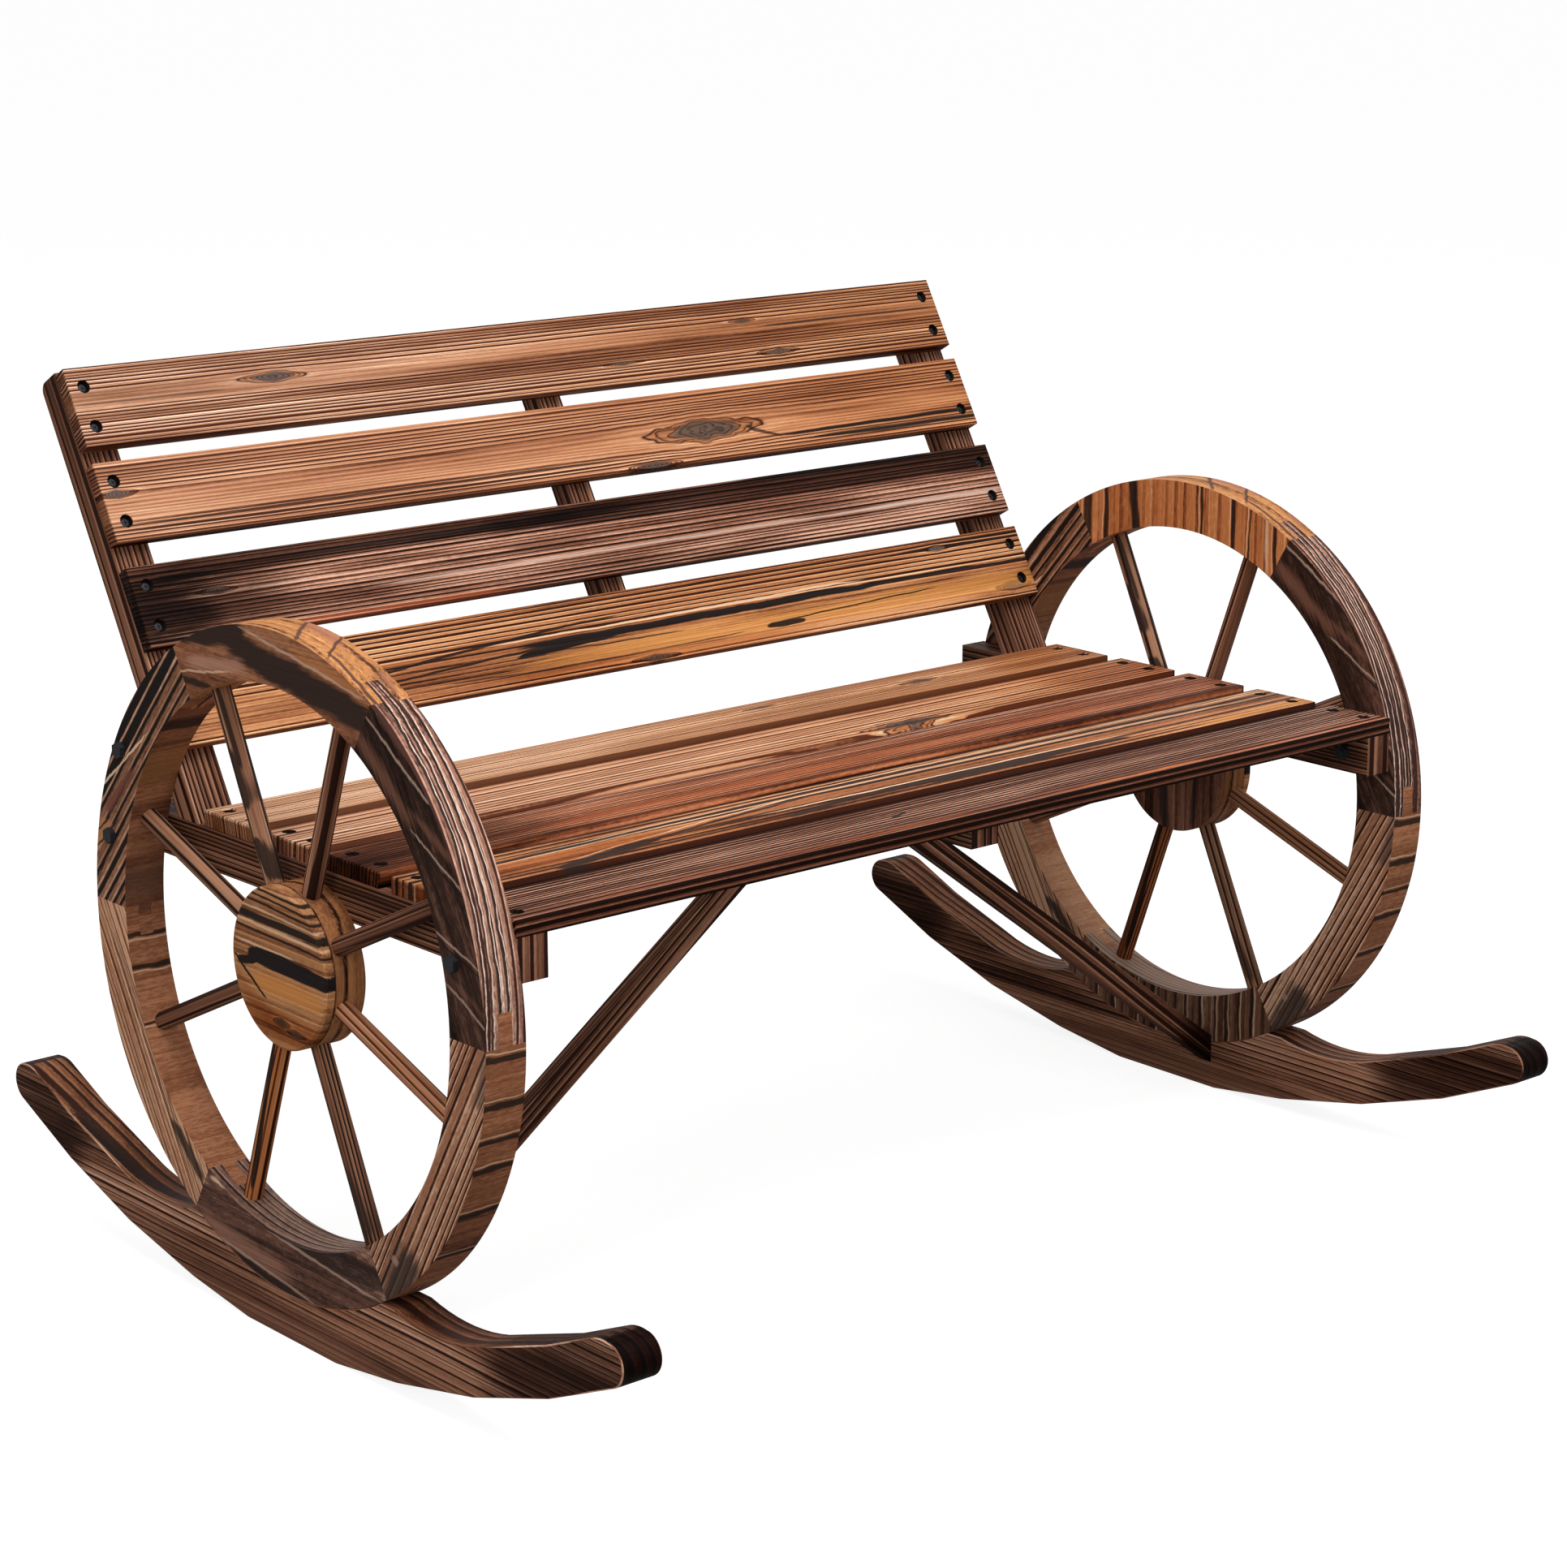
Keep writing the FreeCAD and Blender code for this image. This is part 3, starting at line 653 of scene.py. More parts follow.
back_looks = {
    "back_slat_4": dict(
        tones=TAN, seed=4.2, ring=3.5, pith=(160, -30), wander=5, lines=1.3, bright=0.14, warm=0.85,
        plain=(5, 10), line_width=1.4, speckle=0.3, knots=[(-312, 9, 38, 6), (255, 14, 18, 2.5),
        (90, -17, 25, 2.5), (290, -23, 28, 5)],
        streaks=[(SOOT, 0.85, 0.6, (400, 6, 135, 1.6)), (SOOT, 0.7, 0.6, (-440, 2, 90, 1.2))]),
    "back_slat_3": dict(
        tones=PLAIN_TAN, seed=7.7, ring=3.8, pith=(-130, -20), wander=7, lines=1.2, bright=0.13,
        warm=0.8, plain=(-6, 15), smoke=0.35, wobble=1.5, speckle=0.3, line_width=1.25,
        knots=[(160, -5, 78, 13), (-508, 7, 20, 5), (85, -35, 34, 5)],
        streaks=[(SOOT, 0.9, 0.5, (-230, -23, 300, 1.1), (-230, -29, 300, 0.9)),
            (SOOT, 0.95, 0.4, (400, -20, 160, 2.4, 0.004)), (SOOT, 0.9, 0.4, (420, -28, 130, 2.8)),
            (SOOT, 0.85, 0.5, (235, -14, 22, 2.2, -0.35))]),
    "back_slat_2": dict(
        tones=BROWN, seed=9.1, ring=3.8, pith=(-110, -30), wander=7, lines=0.9, band=0.2,
        bright=0.34, slopes=(-4, 0, 6), smoke=0.9, wobble=2, speckle=0.6, knots=[(-440, 5, 22, 4)],
        streaks=[(SILVER, 0.75, 0.8, (130, -13, 420, 1.8)), (SILVER, 0.6, 0.8, (430, -13, 110, 3)),
            (SILVER, 0.5, 0.7, (-150, 27, 200, 1.4)), (EMBER, 0.5, 0.7, (-300, -36, 200, 4))],
        stains=[(BLACK_STAIN, 0.9, 0.5, (270, 26, 420, 15)),
            (BLACK_STAIN, 0.85, 0.6, (-250, 24, 330, 6, 0.01)),
            (BLACK_STAIN, 0.8, 0.7, (-300, 30, 300, 9)),
            (BLACK_STAIN, 0.85, 0.9, (-510, -6, 170, 40)),
            (BLACK_STAIN, 0.9, 0.8, (-530, -10, 95, 45))]),
    "back_slat_1": dict(
        tones=ORANGE, seed=12.4, ring=5.2, pith=(150, -22), wander=7, lines=1.1, bright=0.05,
        plain=(-17, 17), slopes=(-3, 3, 7), wobble=4, speckle=0.4, knots=[(405, 27, 20, 4),
        (492, -26, 24, 6), (10, -34, 30, 4)],
        streaks=[(GOLD, 0.5, 0.8, (240, -19, 420, 13)), (SOOT, 1, 0.3, (90, -1, 240, 3.9, 0.006)),
            (SOOT, 1, 0.4, (330, 1.5, 120, 1.6, 0.006)), (SOOT, 1, 0.3, (-40, -3.5, 80, 3, 0.05)),
            (SOOT, 1, 0.2, (-90, -7, 62, 3.2, 0.06)), (SOOT, 0.95, 0.3, (440, 1, 160, 1.4, 0.004)),
            (SOOT, 0.9, 0.4, (-40, -11.5, 95, 0.9, -0.01)),
            (RIDGE_HIGHLIGHT, 0.8, 0.5, (60, 5.6, 240, 1.2, 0.006)),
            (SOOT, 0.95, 0.3, (-200, 4, 190, 1.5, 0.07, -0.1), (-220, -10, 130, 1.2, 0.05)),
            (SOOT, 0.97, 0.3, (180, -23, 26, 2.8)), (SOOT, 0.95, 0.4, (280, -17, 110, 0.9, 0.03)),
            (SOOT, 0.8, 0.4, (-60, -27, 190, 0.8, 0, 0.1))],
        stains=[(RED_STAIN, 0.8, 0.7, (20, -33, 210, 9))]),
}
for name, look in back_looks.items():
    middle = middle_of(name) + BACK_NORMAL * SLAT_THICKNESS / 2
    origin = Vector((0.0, middle.y, middle.z))
    slat_frames[name] = (origin, grain_frame(X, UP_BACK), look)
    materials[name] = fir_material("fir " + name, *slat_frames[name][:2], side_shade=0.9, **look)
print("back slats", len(back_looks))

# %% [markdown]
# The seat's boards lie side by side. Of a side between two boards only the top few millimetres
# show; they are painted lighter, painted light, and below them the side is painted dark, painted
# shade in the gap. The front board's front side shows whole, and is dark from just below its face:
# partly char, partly painted shade.

# %% Materials of the seat slats
seat_looks = {
    "seat_slat_1": dict(
        tones=OLIVE, seed=21.3, ring=3.6, pith=(150, -30), wander=5, lines=1.1, bright=0.14,
        warm=0.7, smoke=0.3, speckle=0.3, knots=[(95, 17, 22, 4), (292, 2, 26, 7)],
        stains=[(RED_STAIN, 0.8, 0.9, (520, 0, 160, 50))]),
    "seat_slat_2": dict(
        tones=PLAIN_TAN, seed=23.9, ring=7, pith=(-150, -22), wander=8, lines=1.1, bright=0.28,
        warm=0.8, smoke=0.3, speckle=0.5, wobble=1.5, knots=[(160, -30, 60, 11)],
        streaks=[(RIDGE_HIGHLIGHT, 0.7, 0.7, (0, 20, 420, 1.6), (-200, -8, 330, 1.6)),
            (SOOT, 0.7, 0.6, (300, -31, 210, 1.6))],
        stains=[(RED_STAIN, 0.9, 0.9, (520, 0, 160, 50))]),
    "seat_slat_3": dict(
        tones=RED_BROWN, seed=27.1, ring=4.2, pith=(-120, -25), wander=8, lines=1, bright=0.07,
        smoke=0.5, speckle=0.8, wobble=3, slopes=(2.5, 0, 0),
        streaks=[(SILVER, 0.6, 0.8, (-50, 31, 420, 1.5)), (SILVER, 0.5, 0.8, (300, 24, 220, 1.2)),
            (EMBER, 0.4, 1, (-40, -12, 430, 9, 0.008))],
        stains=[(BLACK_STAIN, 0.95, 1, (-560, 0, 270, 70)),
            (DARK_STAIN, 0.8, 0.6, (380, -32, 200, 8)),
            (BLACK_STAIN, 0.7, 0.6, (0, -35, 560, 2.4))]),
    "seat_slat_4": dict(
        tones=ORANGE, seed=31.6, ring=10, pith=(-260, -22), wander=8, lines=0.7, bright=-0.05,
        smoke=0.5, speckle=0.7, wobble=4, plain=(-4, 12),
        streaks=[(CHAR_FACE, 0.95, 0.5, (60, 37, 620, 4)),
            (CHAR_FACE, 1, 0.5, (-60, 21, 640, 4.2, 0.01, -0.03)),
            (RIDGE_HIGHLIGHT, 0.6, 0.7, (-60, 15.5, 640, 1.4, 0.01, -0.03)),
            (RIDGE_HIGHLIGHT, 0.7, 0.7, (100, 28, 560, 1.4, 0.01, -0.03)),
            (CHAR_FACE, 1, 0.5, (170, 8, 400, 2.6, -0.004)),
            (RIDGE_HIGHLIGHT, 0.7, 0.6, (150, 12.5, 420, 1.3, -0.004)),
            (CHAR_FACE, 1, 0.3, (-345, -24, 62, 7.5, 0.17)),
            (CHAR_FACE, 1, 0.5, (-215, -3, 120, 3, 0.12, -0.3)),
            (RIDGE_HIGHLIGHT, 0.8, 0.6, (-240, 1, 150, 1.4, 0.12, -0.2)),
            (CHAR_FACE, 1, 0.3, (90, -19, 200, 5)), (CHAR_FACE, 1, 0.4, (95, -25, 80, 6)),
            (CHAR_FACE, 1, 0.3, (-115, -26, 42, 3.6, 0.13)),
            (RIDGE_HIGHLIGHT, 0.9, 0.6, (60, -11.5, 250, 1.6, 0.003)),
            (CHAR_FACE, 1, 0.5, (410, -12, 180, 2.6, 0.01)), (GOLD, 0.6, 0.9, (460, -28, 110, 8))],
        stains=[(RED_STAIN, 0.9, 0.9, (-420, -4, 190, 22))]),
    "seat_slat_5": dict(
        tones=BROWN, seed=34.4, ring=4.8, pith=(-70, -45), wander=7, lines=1.3, band=0.3,
        bright=0.12, slopes=(2, 0, 0), smoke=0.6, speckle=0.6, wobble=3, line_width=1.35,
        streaks=[(EMBER, 0.8, 0.6, (-230, -30, 230, 1)), (EMBER, 0.8, 0.8, (300, -32, 260, 3.4)),
            (GOLD, 0.6, 0.9, (200, -31, 90, 1.2)), (SOOT, 0.9, 0.5, (-80, 3, 12, 3, 0.3))]),
}
FRONT_SIDE = dict(side_shade=0.75, side_start=0.5)
OTHER_SIDE = dict(side_shade=0.95, side_start=4.0, side_lift=0.9)
for name, look in seat_looks.items():
    origin = Vector((0.0, middle_of(name).y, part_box(name)[1].z))
    slat_frames[name] = (origin, grain_frame(X, Y), look)
    side = FRONT_SIDE if name == "seat_slat_5" else OTHER_SIDE
    materials[name] = fir_material("fir " + name, *slat_frames[name][:2], **side, **look)
print("seat slats", len(seat_looks))

# %% [markdown]
# The bars under and behind the slats need no list of their own: loops give each its grain, its
# seed and its rings. The front ends of the rails have their own grain, and the runners are darker
# at both tips.


# %% Materials of the rails, posts, braces and runners
def board(title, name, along, across, **look):
    """The material of a board whose texture starts at its middle."""
    return fir_material(title + name, middle_of(name), grain_frame(along, across),
                        **{"tones": MID_BROWN, **look})


for name in ("left_seat_rail", "right_seat_rail", "seat_cleat"):
    materials[name] = board("fir ", name, Y, Z, seed=40.0 + len(materials), ring=4.4,
                            pith=(120, -40), wander=9, lines=0.95, band=0.15)
    end_materials[name] = board("fir end of ", name, Z, X, seed=44.0 + len(materials), ring=5.0,
                                pith=(-90, -40), wander=9, lines=1.1, band=0.2, bright=-0.05,
                                speckle=0.5)
for name in ("left_back_post", "right_back_post", "centre_back_post"):
    materials[name] = board("fir ", name, UP_BACK, X, seed=50.0 + len(materials), ring=4.6,
                            pith=(90, -40), wander=9, lines=1.0, band=0.3)

for side, sign in (("left", -1), ("right", 1)):
    name = side + "_brace"
    low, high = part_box(name)
    along = Vector((-sign * (high.x - low.x), 0, high.z - low.z))
    materials[name] = board("fir ", name, along, Y, seed=60.0 + sign, ring=5.0, pith=(80, -40),
                            wander=7, lines=1.2, band=0.35, bright=-0.10 - 0.06 * (sign + 1),
                            speckle=0.5, stains=[(BLACK_STAIN, 0.45 + 0.45 * sign, 0.9,
                                                  (-330, 0, 90, 60))])
    name = side + "_rocker"
    materials[name] = board("fir ", name, -Y, Z, seed=64.0 + sign, ring=5.6, pith=(-300, -20),
                            wander=14, lines=0.9, band=0.05, bright=0.13, smoke=0.8,
                            line_width=0.6, speckle=0.4, wobble=5.0,
                            streaks=[(BRICK, 0.6, 0.9, (10, -62, 300, 22))],
                            stains=[(BLACK_STAIN, 0.9, 0.9, (-430, 10, 110, 90),
                                     (400, 10, 140, 90))])
    rim_materials[name] = board("fir top of ", name, -Y, X, tones=BRONZE, seed=66.0 + sign,
                                ring=11.0, pith=(-260, -20), wander=20, lines=0.9, band=0.55,
                                speckle=0.4, stains=[
                                    (BLACK_STAIN, 0.9, 0.9, (400, 10, 140, 90)),
                                    (TIP_STAIN, 1.0, 0.2, (452, 0, 22, 60), (-452, 0, 22, 60))])

print("frame bars", len(materials) - len(slat_frames))

# %% [markdown]
# Each wheel rim is six curved pieces. Their flat faces show the grain along the rim, but on the
# right wheel the top and bottom pieces show it running to the hub. The narrow faces of some pieces
# are cut across the grain, so it crosses the rim there, and on the others it circles.


# %% Looks of the wheel pieces
def bars(*places):
    """Dark bars across a piece, each (place, half width), with a pale edge beside it, a painted
    highlight.
    """
    return [group for place, half in places
            for group in ((SOOT, 0.92, 0.4, (0, place, 90, half)),
                          (RIDGE_HIGHLIGHT, 0.45, 0.6, (0, place + half + 1.6, 80, 0.9)))]


RIM_MIDDLE, RIM_FACE = 0.266, 0.5426
FIRST_SPOKE = 25.2
FIRST_JOINT = -60
FELLOES = ("front_lower", "front_upper", "top", "rear_upper", "rear_lower", "bottom")
right_rim_changes = {"rear_lower": dict(bright=0.25, tones=PLAIN_TAN), "bottom": dict(bright=1.0),
                     "top": dict(bright=-0.05)}
face_looks = {
    "front_lower": dict(
        tones=MID_BROWN, ring=8, pith=(-170, -20), wander=14, lines=1.15, bright=0.4,
        line_width=0.7, warm=0.5,
        streaks=[((0.034, 0.022, 0.019), 0.9, 0.7, (-118, -8, 42, 24)),
            ((0.05, 0.033, 0.03), 0.6, 0.9, (122, -4, 30, 12, -0.2)),
            (PALE_EDGE_HIGHLIGHT, 0.6, 0.5, (-105, -22, 4, 6))]),
    "front_upper": dict(
        tones=CHARCOAL, ring=24, pith=(-240, -160), wander=30, lines=0.15, bright=0, smoke=0.7,
        streaks=[(BRICK, 0.7, 0.95, (85, -27, 55, 10, -0.35)),
            (BRICK, 0.6, 0.95, (25, 10, 32, 7, -0.6)), (BRICK, 0.4, 0.95, (112, 2, 30, 4, -0.5)),
            (BRICK, 0.35, 0.95, (-105, -12, 28, 5, -0.65)),
            (PALE_EDGE_HIGHLIGHT, 0.85, 0.8, (-68, -5, 40, 2, -0.85)),
            (PALE_EDGE_HIGHLIGHT, 0.75, 0.8, (-108, -19, 32, 2, -0.62)),
            (PALE_EDGE_HIGHLIGHT, 0.85, 0.8, (3, 7, 44, 2.2, -0.62)),
            (PALE_EDGE_HIGHLIGHT, 0.9, 0.8, (94, -2, 58, 2.2, -0.5)),
            (SOOT, 0.9, 0.6, (-72, -8, 40, 1.4, -0.85), (0, 3, 44, 1.4, -0.62),
            (92, -6, 58, 1.4, -0.5))]),
    "top": dict(
        tones=BRONZE, ring=20, pith=(-200, -90), wander=16, lines=0.1, bright=0.16,
        streaks=[((0.42, 0.165, 0.06), 0.7, 0.9, (-92, 0, 62, 9, 0.17)),
            (CHAR_FACE, 1, 0.4, (-45, -12, 118, 16, 0.15), (95, 9, 66, 16, -0.12)),
            ((0.46, 0.29, 0.21), 0.8, 0.7, (-50, 4.5, 100, 1.8, 0.17)),
            ((0.37, 0.18, 0.12), 0.9, 0.8, (78, -19, 50, 9, -0.12)),
            (RIDGE_HIGHLIGHT, 0.5, 0.8, (98, -29, 44, 1.4, -0.15)), (SOOT, 0.9, 0.6, (112, -40, 26, 4))]),
    "rear_upper": dict(
        tones=STRIPE, ring=11, pith=(-220, -20), slant=(0.2, 0), wander=16, lines=1.1, band=0.62,
        slopes=(0, 0, 9), bright=0.05,
        streaks=[((0.15, 0.052, 0.036), 0.9, 0.7, (30, -8, 38, 7, 0.12)),
            ((0.42, 0.185, 0.075), 0.9, 0.6, (104, -6, 40, 18, 0.2)),
            (SOOT, 0.9, 0.4, (104, -2, 44, 1.2, 0.26), (100, -15, 48, 1.2, 0.2)),
            (RIDGE_HIGHLIGHT, 0.8, 0.5, (20, 9, 70, 1.6, 0.22)),
            ((0.36, 0.155, 0.07), 0.85, 0.6, (-60, -33, 62, 5, 0.05))]),
    "rear_lower": dict(
        tones=CLAY, ring=6.6, pith=(-210, -15), wander=10, lines=1.1, bright=0.62, line_width=0.8,
        streaks=[((0.03, 0.02, 0.017), 0.9, 0.5, (98, -31, 32, 7, -0.3)),
            (RIDGE_HIGHLIGHT, 0.6, 0.6, (-20, -16, 120, 1.3)), (SOOT, 0.8, 0.5, (10, -20, 130, 1.1)),
            (SOOT, 0.7, 0.5, (0, -26, 130, 0.9))]),
    "bottom": dict(
        tones=CHARCOAL, ring=24, pith=(-240, -160), wander=24, lines=0.15, bright=0.4, smoke=0.6,
        streaks=[((0.26, 0.125, 0.083), 0.85, 0.95, (-75, 2, 84, 13, 0.1)),
            (SOOT, 0.85, 0.5, (-30, 24, 110, 8, 0.12)), (SOOT, 0.8, 0.6, (80, -24, 80, 15)),
            (PALE_EDGE_HIGHLIGHT, 0.8, 0.7, (55, -15, 88, 1.8, 0.08)),
            (PALE_EDGE_HIGHLIGHT, 0.75, 0.7, (-50, 13, 104, 1.8, 0.13)),
            (RIDGE_HIGHLIGHT, 0.75, 0.6, (-95, -41, 26, 3, 0.15))]),
}
hubward_looks = {
    "top": dict(
        tones=COPPER, ring=15, pith=(-400, -20), wander=14, lines=0.4, bright=0.28,
        streaks=[*bars((-27, 2.4), (-70, 3), (-92, 1.2), (-128, 2.6), (104, 3.6), (130, 7)),
                 (SOOT, 0.95, 0.5, (0, 64, 60, 7, 0.12)), (RIDGE_HIGHLIGHT, 0.5, 0.8, (0, -116, 60, 4))]),
    "bottom": dict(
        tones=UMBER, ring=12, pith=(-400, -20), wander=12, lines=0.4, bright=0.4,
        streaks=bars((25, 1.5), (45, 2), (65, 1.2), (80, 2.6), (97, 1.4), (115, 2), (-20, 2.6),
                     (-45, 1.4), (-80, 3), (-104, 2))),
}
crossing_rims = {
    "front_lower": dict(
        tones=CLAY, ring=40, pith=(-500, -20), wander=16, lines=0.1, bright=0, smoke=0.3,
        streaks=bars((-5, 3.2), (42, 3.4), (70, 2.6), (100, 3.4), (136, 3.2), (-60, 2.6))),
    "rear_upper": dict(
        tones=BRONZE, ring=40, pith=(-500, -20), wander=16, lines=0.1, bright=0.1,
        streaks=[((0.26, 0.115, 0.042), 0.7, 0.9, (0, -20, 90, 36)),
            (CHAR_FACE, 0.95, 0.5, (0, -74, 90, 11)), (CHAR_FACE, 0.5, 0.9, (0, -46, 90, 5)),
            ((0.06, 0.028, 0.02), 0.7, 0.8, (0, 105, 90, 26))]),
    "rear_lower": dict(
        tones=CLAY, ring=40, pith=(-500, -20), wander=16, lines=0.1, bright=0.2, smoke=0.2,
        streaks=bars((-96, 2.2), (-71, 2.6), (-21, 1.6))),
}
circling_rims = {
    "front_upper": dict(
        tones=PINK_TAN, ring=9, pith=(-500, -20), slant=(0.03, 0), wander=16, lines=1.2,
        bright=-0.12, line_width=0.9,
        streaks=[group for place in (-13, -6, 1, 9) for group in (
            (SOOT, 0.9, 0.4, (0, place, 190, 1.3, 0.01, 0.02)),
            (PALE_FIBRE_HIGHLIGHT, 0.75, 0.9, (0, place + 1.9, 190, 0.8, 0.01, 0.02)))]),
    "top": dict(
        tones=SAND, ring=15, pith=(-500, -30), wander=30, lines=0.2, bright=0.1,
        streaks=[((0.33, 0.13, 0.08), 0.8, 0.8, (-35, 12, 34, 8, 0.1)),
            (UMBER_LINE, 0.92, 0.6, (-115, -12, 42, 2.4, 0.05), (-64, 4, 20, 3, 1.1)),
            (UMBER_LINE, 0.92, 0.7, (-20, 0, 26, 4, 1)),
            ((0.3, 0.12, 0.075), 0.7, 0.6, (-125, 11, 16, 3.5))]),
    "bottom": dict(
        tones=ASH, ring=8, pith=(-500, -20), slant=(0.03, 0), wander=14, lines=1, bright=0.28,
        line_width=0.7),
}
spoke_looks = {
    1: dict(tones=MID_BROWN),
    2: dict(tones=MID_BROWN, bright=-0.03),
    3: dict(
        tones=STRIPE,
        streaks=[(CHAR_FACE, 0.95, 0.4, (10, 2, 28, 9, 0.1)),
            (SOOT, 0.9, 0.4, (-62, -3, 22, 6, 0.2), (52, -5, 40, 2))]),
    4: dict(tones=STRIPE, bright=-0.08),
    5: dict(tones=MID_BROWN, bright=0.05),
    6: dict(
        tones=COPPER,
        streaks=[(SOOT, 0.95, 0.3, (-10, 2, 90, 2.4, 0.02)), (SOOT, 0.9, 0.4, (-40, -4, 30, 1.6))]),
    7: dict(tones=STRIPE, bright=-0.1, streaks=[(CHAR_FACE, 0.8, 0.6, (50, 0, 34, 6, 0.1))]),
    8: dict(tones=CLAY, bright=0.05),
}
hub_face = dict(
    tones=HUB_GOLD, ring=11, pith=(300, -30), wander=8, lines=0.3, bright=0.3,
    knots=[(3, -47, 13, 5), (24, -52, 14, 4)],
    streaks=[(SOOT, 0.97, 0.5, (0, 38, 90, 4.4, -0.03)), (SOOT, 0.95, 0.5, (0, 51, 90, 1.5, -0.05),
        (0, 57, 90, 1.4, -0.05), (0, 63, 90, 1.6, -0.05), (0, 26, 90, 1.4, -0.03)),
        (RIDGE_HIGHLIGHT, 0.6, 0.7, (0, 31.5, 80, 1.8, -0.03)), (RIDGE_HIGHLIGHT, 0.5, 0.7, (0, 45, 80, 1.4, -0.04),
        (-20, 14, 48, 1.5, -0.02)), ((0.5, 0.2, 0.055), 0.85, 0.8, (15, -17, 60, 14)),
        (SOOT, 1, 0.2, (15, 4, 66, 8, -0.04)), (SOOT, 1, 0.3, (-46, -1, 18, 4, 0.2)),
        (SOOT, 0.97, 0.4, (-44, -15, 25, 2.2, -0.66))],
    stains=[(RED_STAIN, 0.95, 0.6, (0, -52, 90, 20)),
        (RED_STAIN, 0.6, 0.8, (-40, -34, 50, 14, -0.5))])
hub_side = dict(
    tones=HUB_ORANGE, ring=30, pith=(-200, -30), wander=40, lines=0.5, band=0.35, bright=0.05,
    line_width=0.5)
hub_back = dict(
    tones=BROWN, ring=18, pith=(-200, -30), wander=40, lines=0.35, band=0.3, bright=0.1,
    line_width=0.8,
    streaks=[(CHAR_FACE, 0.9, 0.6, (-30, 14, 50, 9, 0.1)),
        (CHAR_FACE, 0.8, 0.7, (-20, -34, 50, 6, -0.1))])
for look in (*face_looks.values(), *hubward_looks.values(), *crossing_rims.values(),
             *circling_rims.values()):
    look.update(wobble=9.0, speckle=1.0)
for look in (hub_face, hub_side, hub_back):
    look.update(wobble=5.0, speckle=0.6)
print("looks of rim pieces", len(face_looks), "and of spokes", len(spoke_looks))

# %% [markdown]
# Round the wheel the grain turns with the pieces, so each piece's frame is worked out from its
# angle. Both wheels take the same looks with other seeds, and a few pieces of the right wheel are
# changed, so that the two differ as real ones do.


# %% Materials of the wheels
def wheel_axes(degrees):
    """The direction from the hub at an angle above the front, and the one along the rim."""
    turn = math.radians(degrees)
    return (Vector((0, -math.cos(turn), math.sin(turn))),
            Vector((0, math.sin(turn), math.cos(turn))))


for side, sign in (("left", -1), ("right", 1)):
    for number, felloe in enumerate(FELLOES):
        name = side + "_felloe_" + felloe
        radial, tangent = wheel_axes(FIRST_JOINT + 60 * number + 30)
        origin = AXLE + radial * RIM_MIDDLE + X * (sign * RIM_FACE)
        seed = 70.0 + number * 3 + sign
        hubward = sign > 0 and felloe in hubward_looks
        look = hubward_looks[felloe] if hubward else face_looks[felloe]
        angles = grain_frame(radial, tangent) if hubward else grain_frame(tangent, radial)
        materials[name] = fir_material("fir " + name, origin, angles, seed=seed, **look)
        if felloe in crossing_rims:
            look, angles = crossing_rims[felloe], grain_frame(X, tangent)
        else:
            look, angles = circling_rims[felloe], grain_frame(tangent, X)
        changes = right_rim_changes.get(felloe, {}) if sign > 0 else {}
        rim_materials[name] = fir_material("fir rim of " + name, origin, angles, seed=seed + 0.5,
                                           **{**look, **changes})
    for number in range(8):
        materials[side + "_spoke_%d" % (number + 1)] = board(
            "fir ", side + "_spoke_%d" % (number + 1), *wheel_axes(FIRST_SPOKE + 45 * number),
            seed=90.0 + number * 2 + sign, ring=4.5, pith=(26, -18), slant=(0.01, 0.02), wander=8,
            lines=1.0, band=0.25, **spoke_looks[number + 1])
    materials[side + "_hub_cap"] = board("fir ", side + "_hub_cap", -Y, Z, seed=110.0 + sign,
                                         **hub_face)
    name = side + "_hub_drum"
    materials[name] = board("fir ", name, Z, Y, seed=112.0 + sign, **hub_back)
    rim_materials[name] = board("fir rim of ", name, Z, X, seed=114.0 + sign, **hub_side)
print("materials", len(materials))

# %% [markdown]
# Bolts, nuts and screws are black steel. The finish is matt with faint wear, so a small noise
# changes its roughness.

# %% Black steel
STEEL_DARK, STEEL_WORN = (0.007, 0.007, 0.008, 1), (0.020, 0.021, 0.024, 1)
STEEL_GRAIN, STEEL_METALLIC, STEEL_SHEEN = 900.0, 0.15, 0.3
steel = bpy.data.materials.new("blackened steel")
tree = emptied(steel)
where = Wire(add(tree, "ShaderNodeTexCoord").outputs["Object"])
grain = wire(tree, "ShaderNodeTexNoise", {"Vector": where, "Scale": STEEL_GRAIN, "Detail": 2.0})
worn = smooth(grain, 0.35, 0.7)
shader = add(tree, "ShaderNodeBsdfPrincipled", {"Base Color": blend(worn, STEEL_DARK, STEEL_WORN),
                                                "Roughness": worn * 0.15 + 0.48})
shader.inputs["Metallic"].default_value = STEEL_METALLIC
shader.inputs["Specular IOR Level"].default_value = STEEL_SHEEN
add(tree, "ShaderNodeOutputMaterial", {"Surface": wires(shader)[0]})
for name in ("wheel_bolts", "bolt_nuts"):
    materials[name] = steel

# %% [markdown]
# Sawn boards are never knife-sharp: sandpaper takes the arrises off. A CAD solid has sharp edges,
# so each one, but for the spokes, the hub caps and the bolts, is copied, its triangles are welded
# and merged into flat faces, and the edges where faces meet at an angle are bevelled. The copy
# stands for the node.


# %% Boards with eased edges
SLOTS = {"felloe": "wheel_rims", "spoke": "spokes", "hub": "hubs", "rocker": "runners",
         "seat_slat": "seat_slats", "back_slat": "back_slats", "bolt": "bolts", "nuts": "bolts"}
# The width of an eased edge, the angle from which an edge counts, and the radii of the rims.
EASE, SHARP, FLAT = 0.0012, math.radians(28), math.radians(0.5)
RIM_RADII = (0.290, 0.2423)
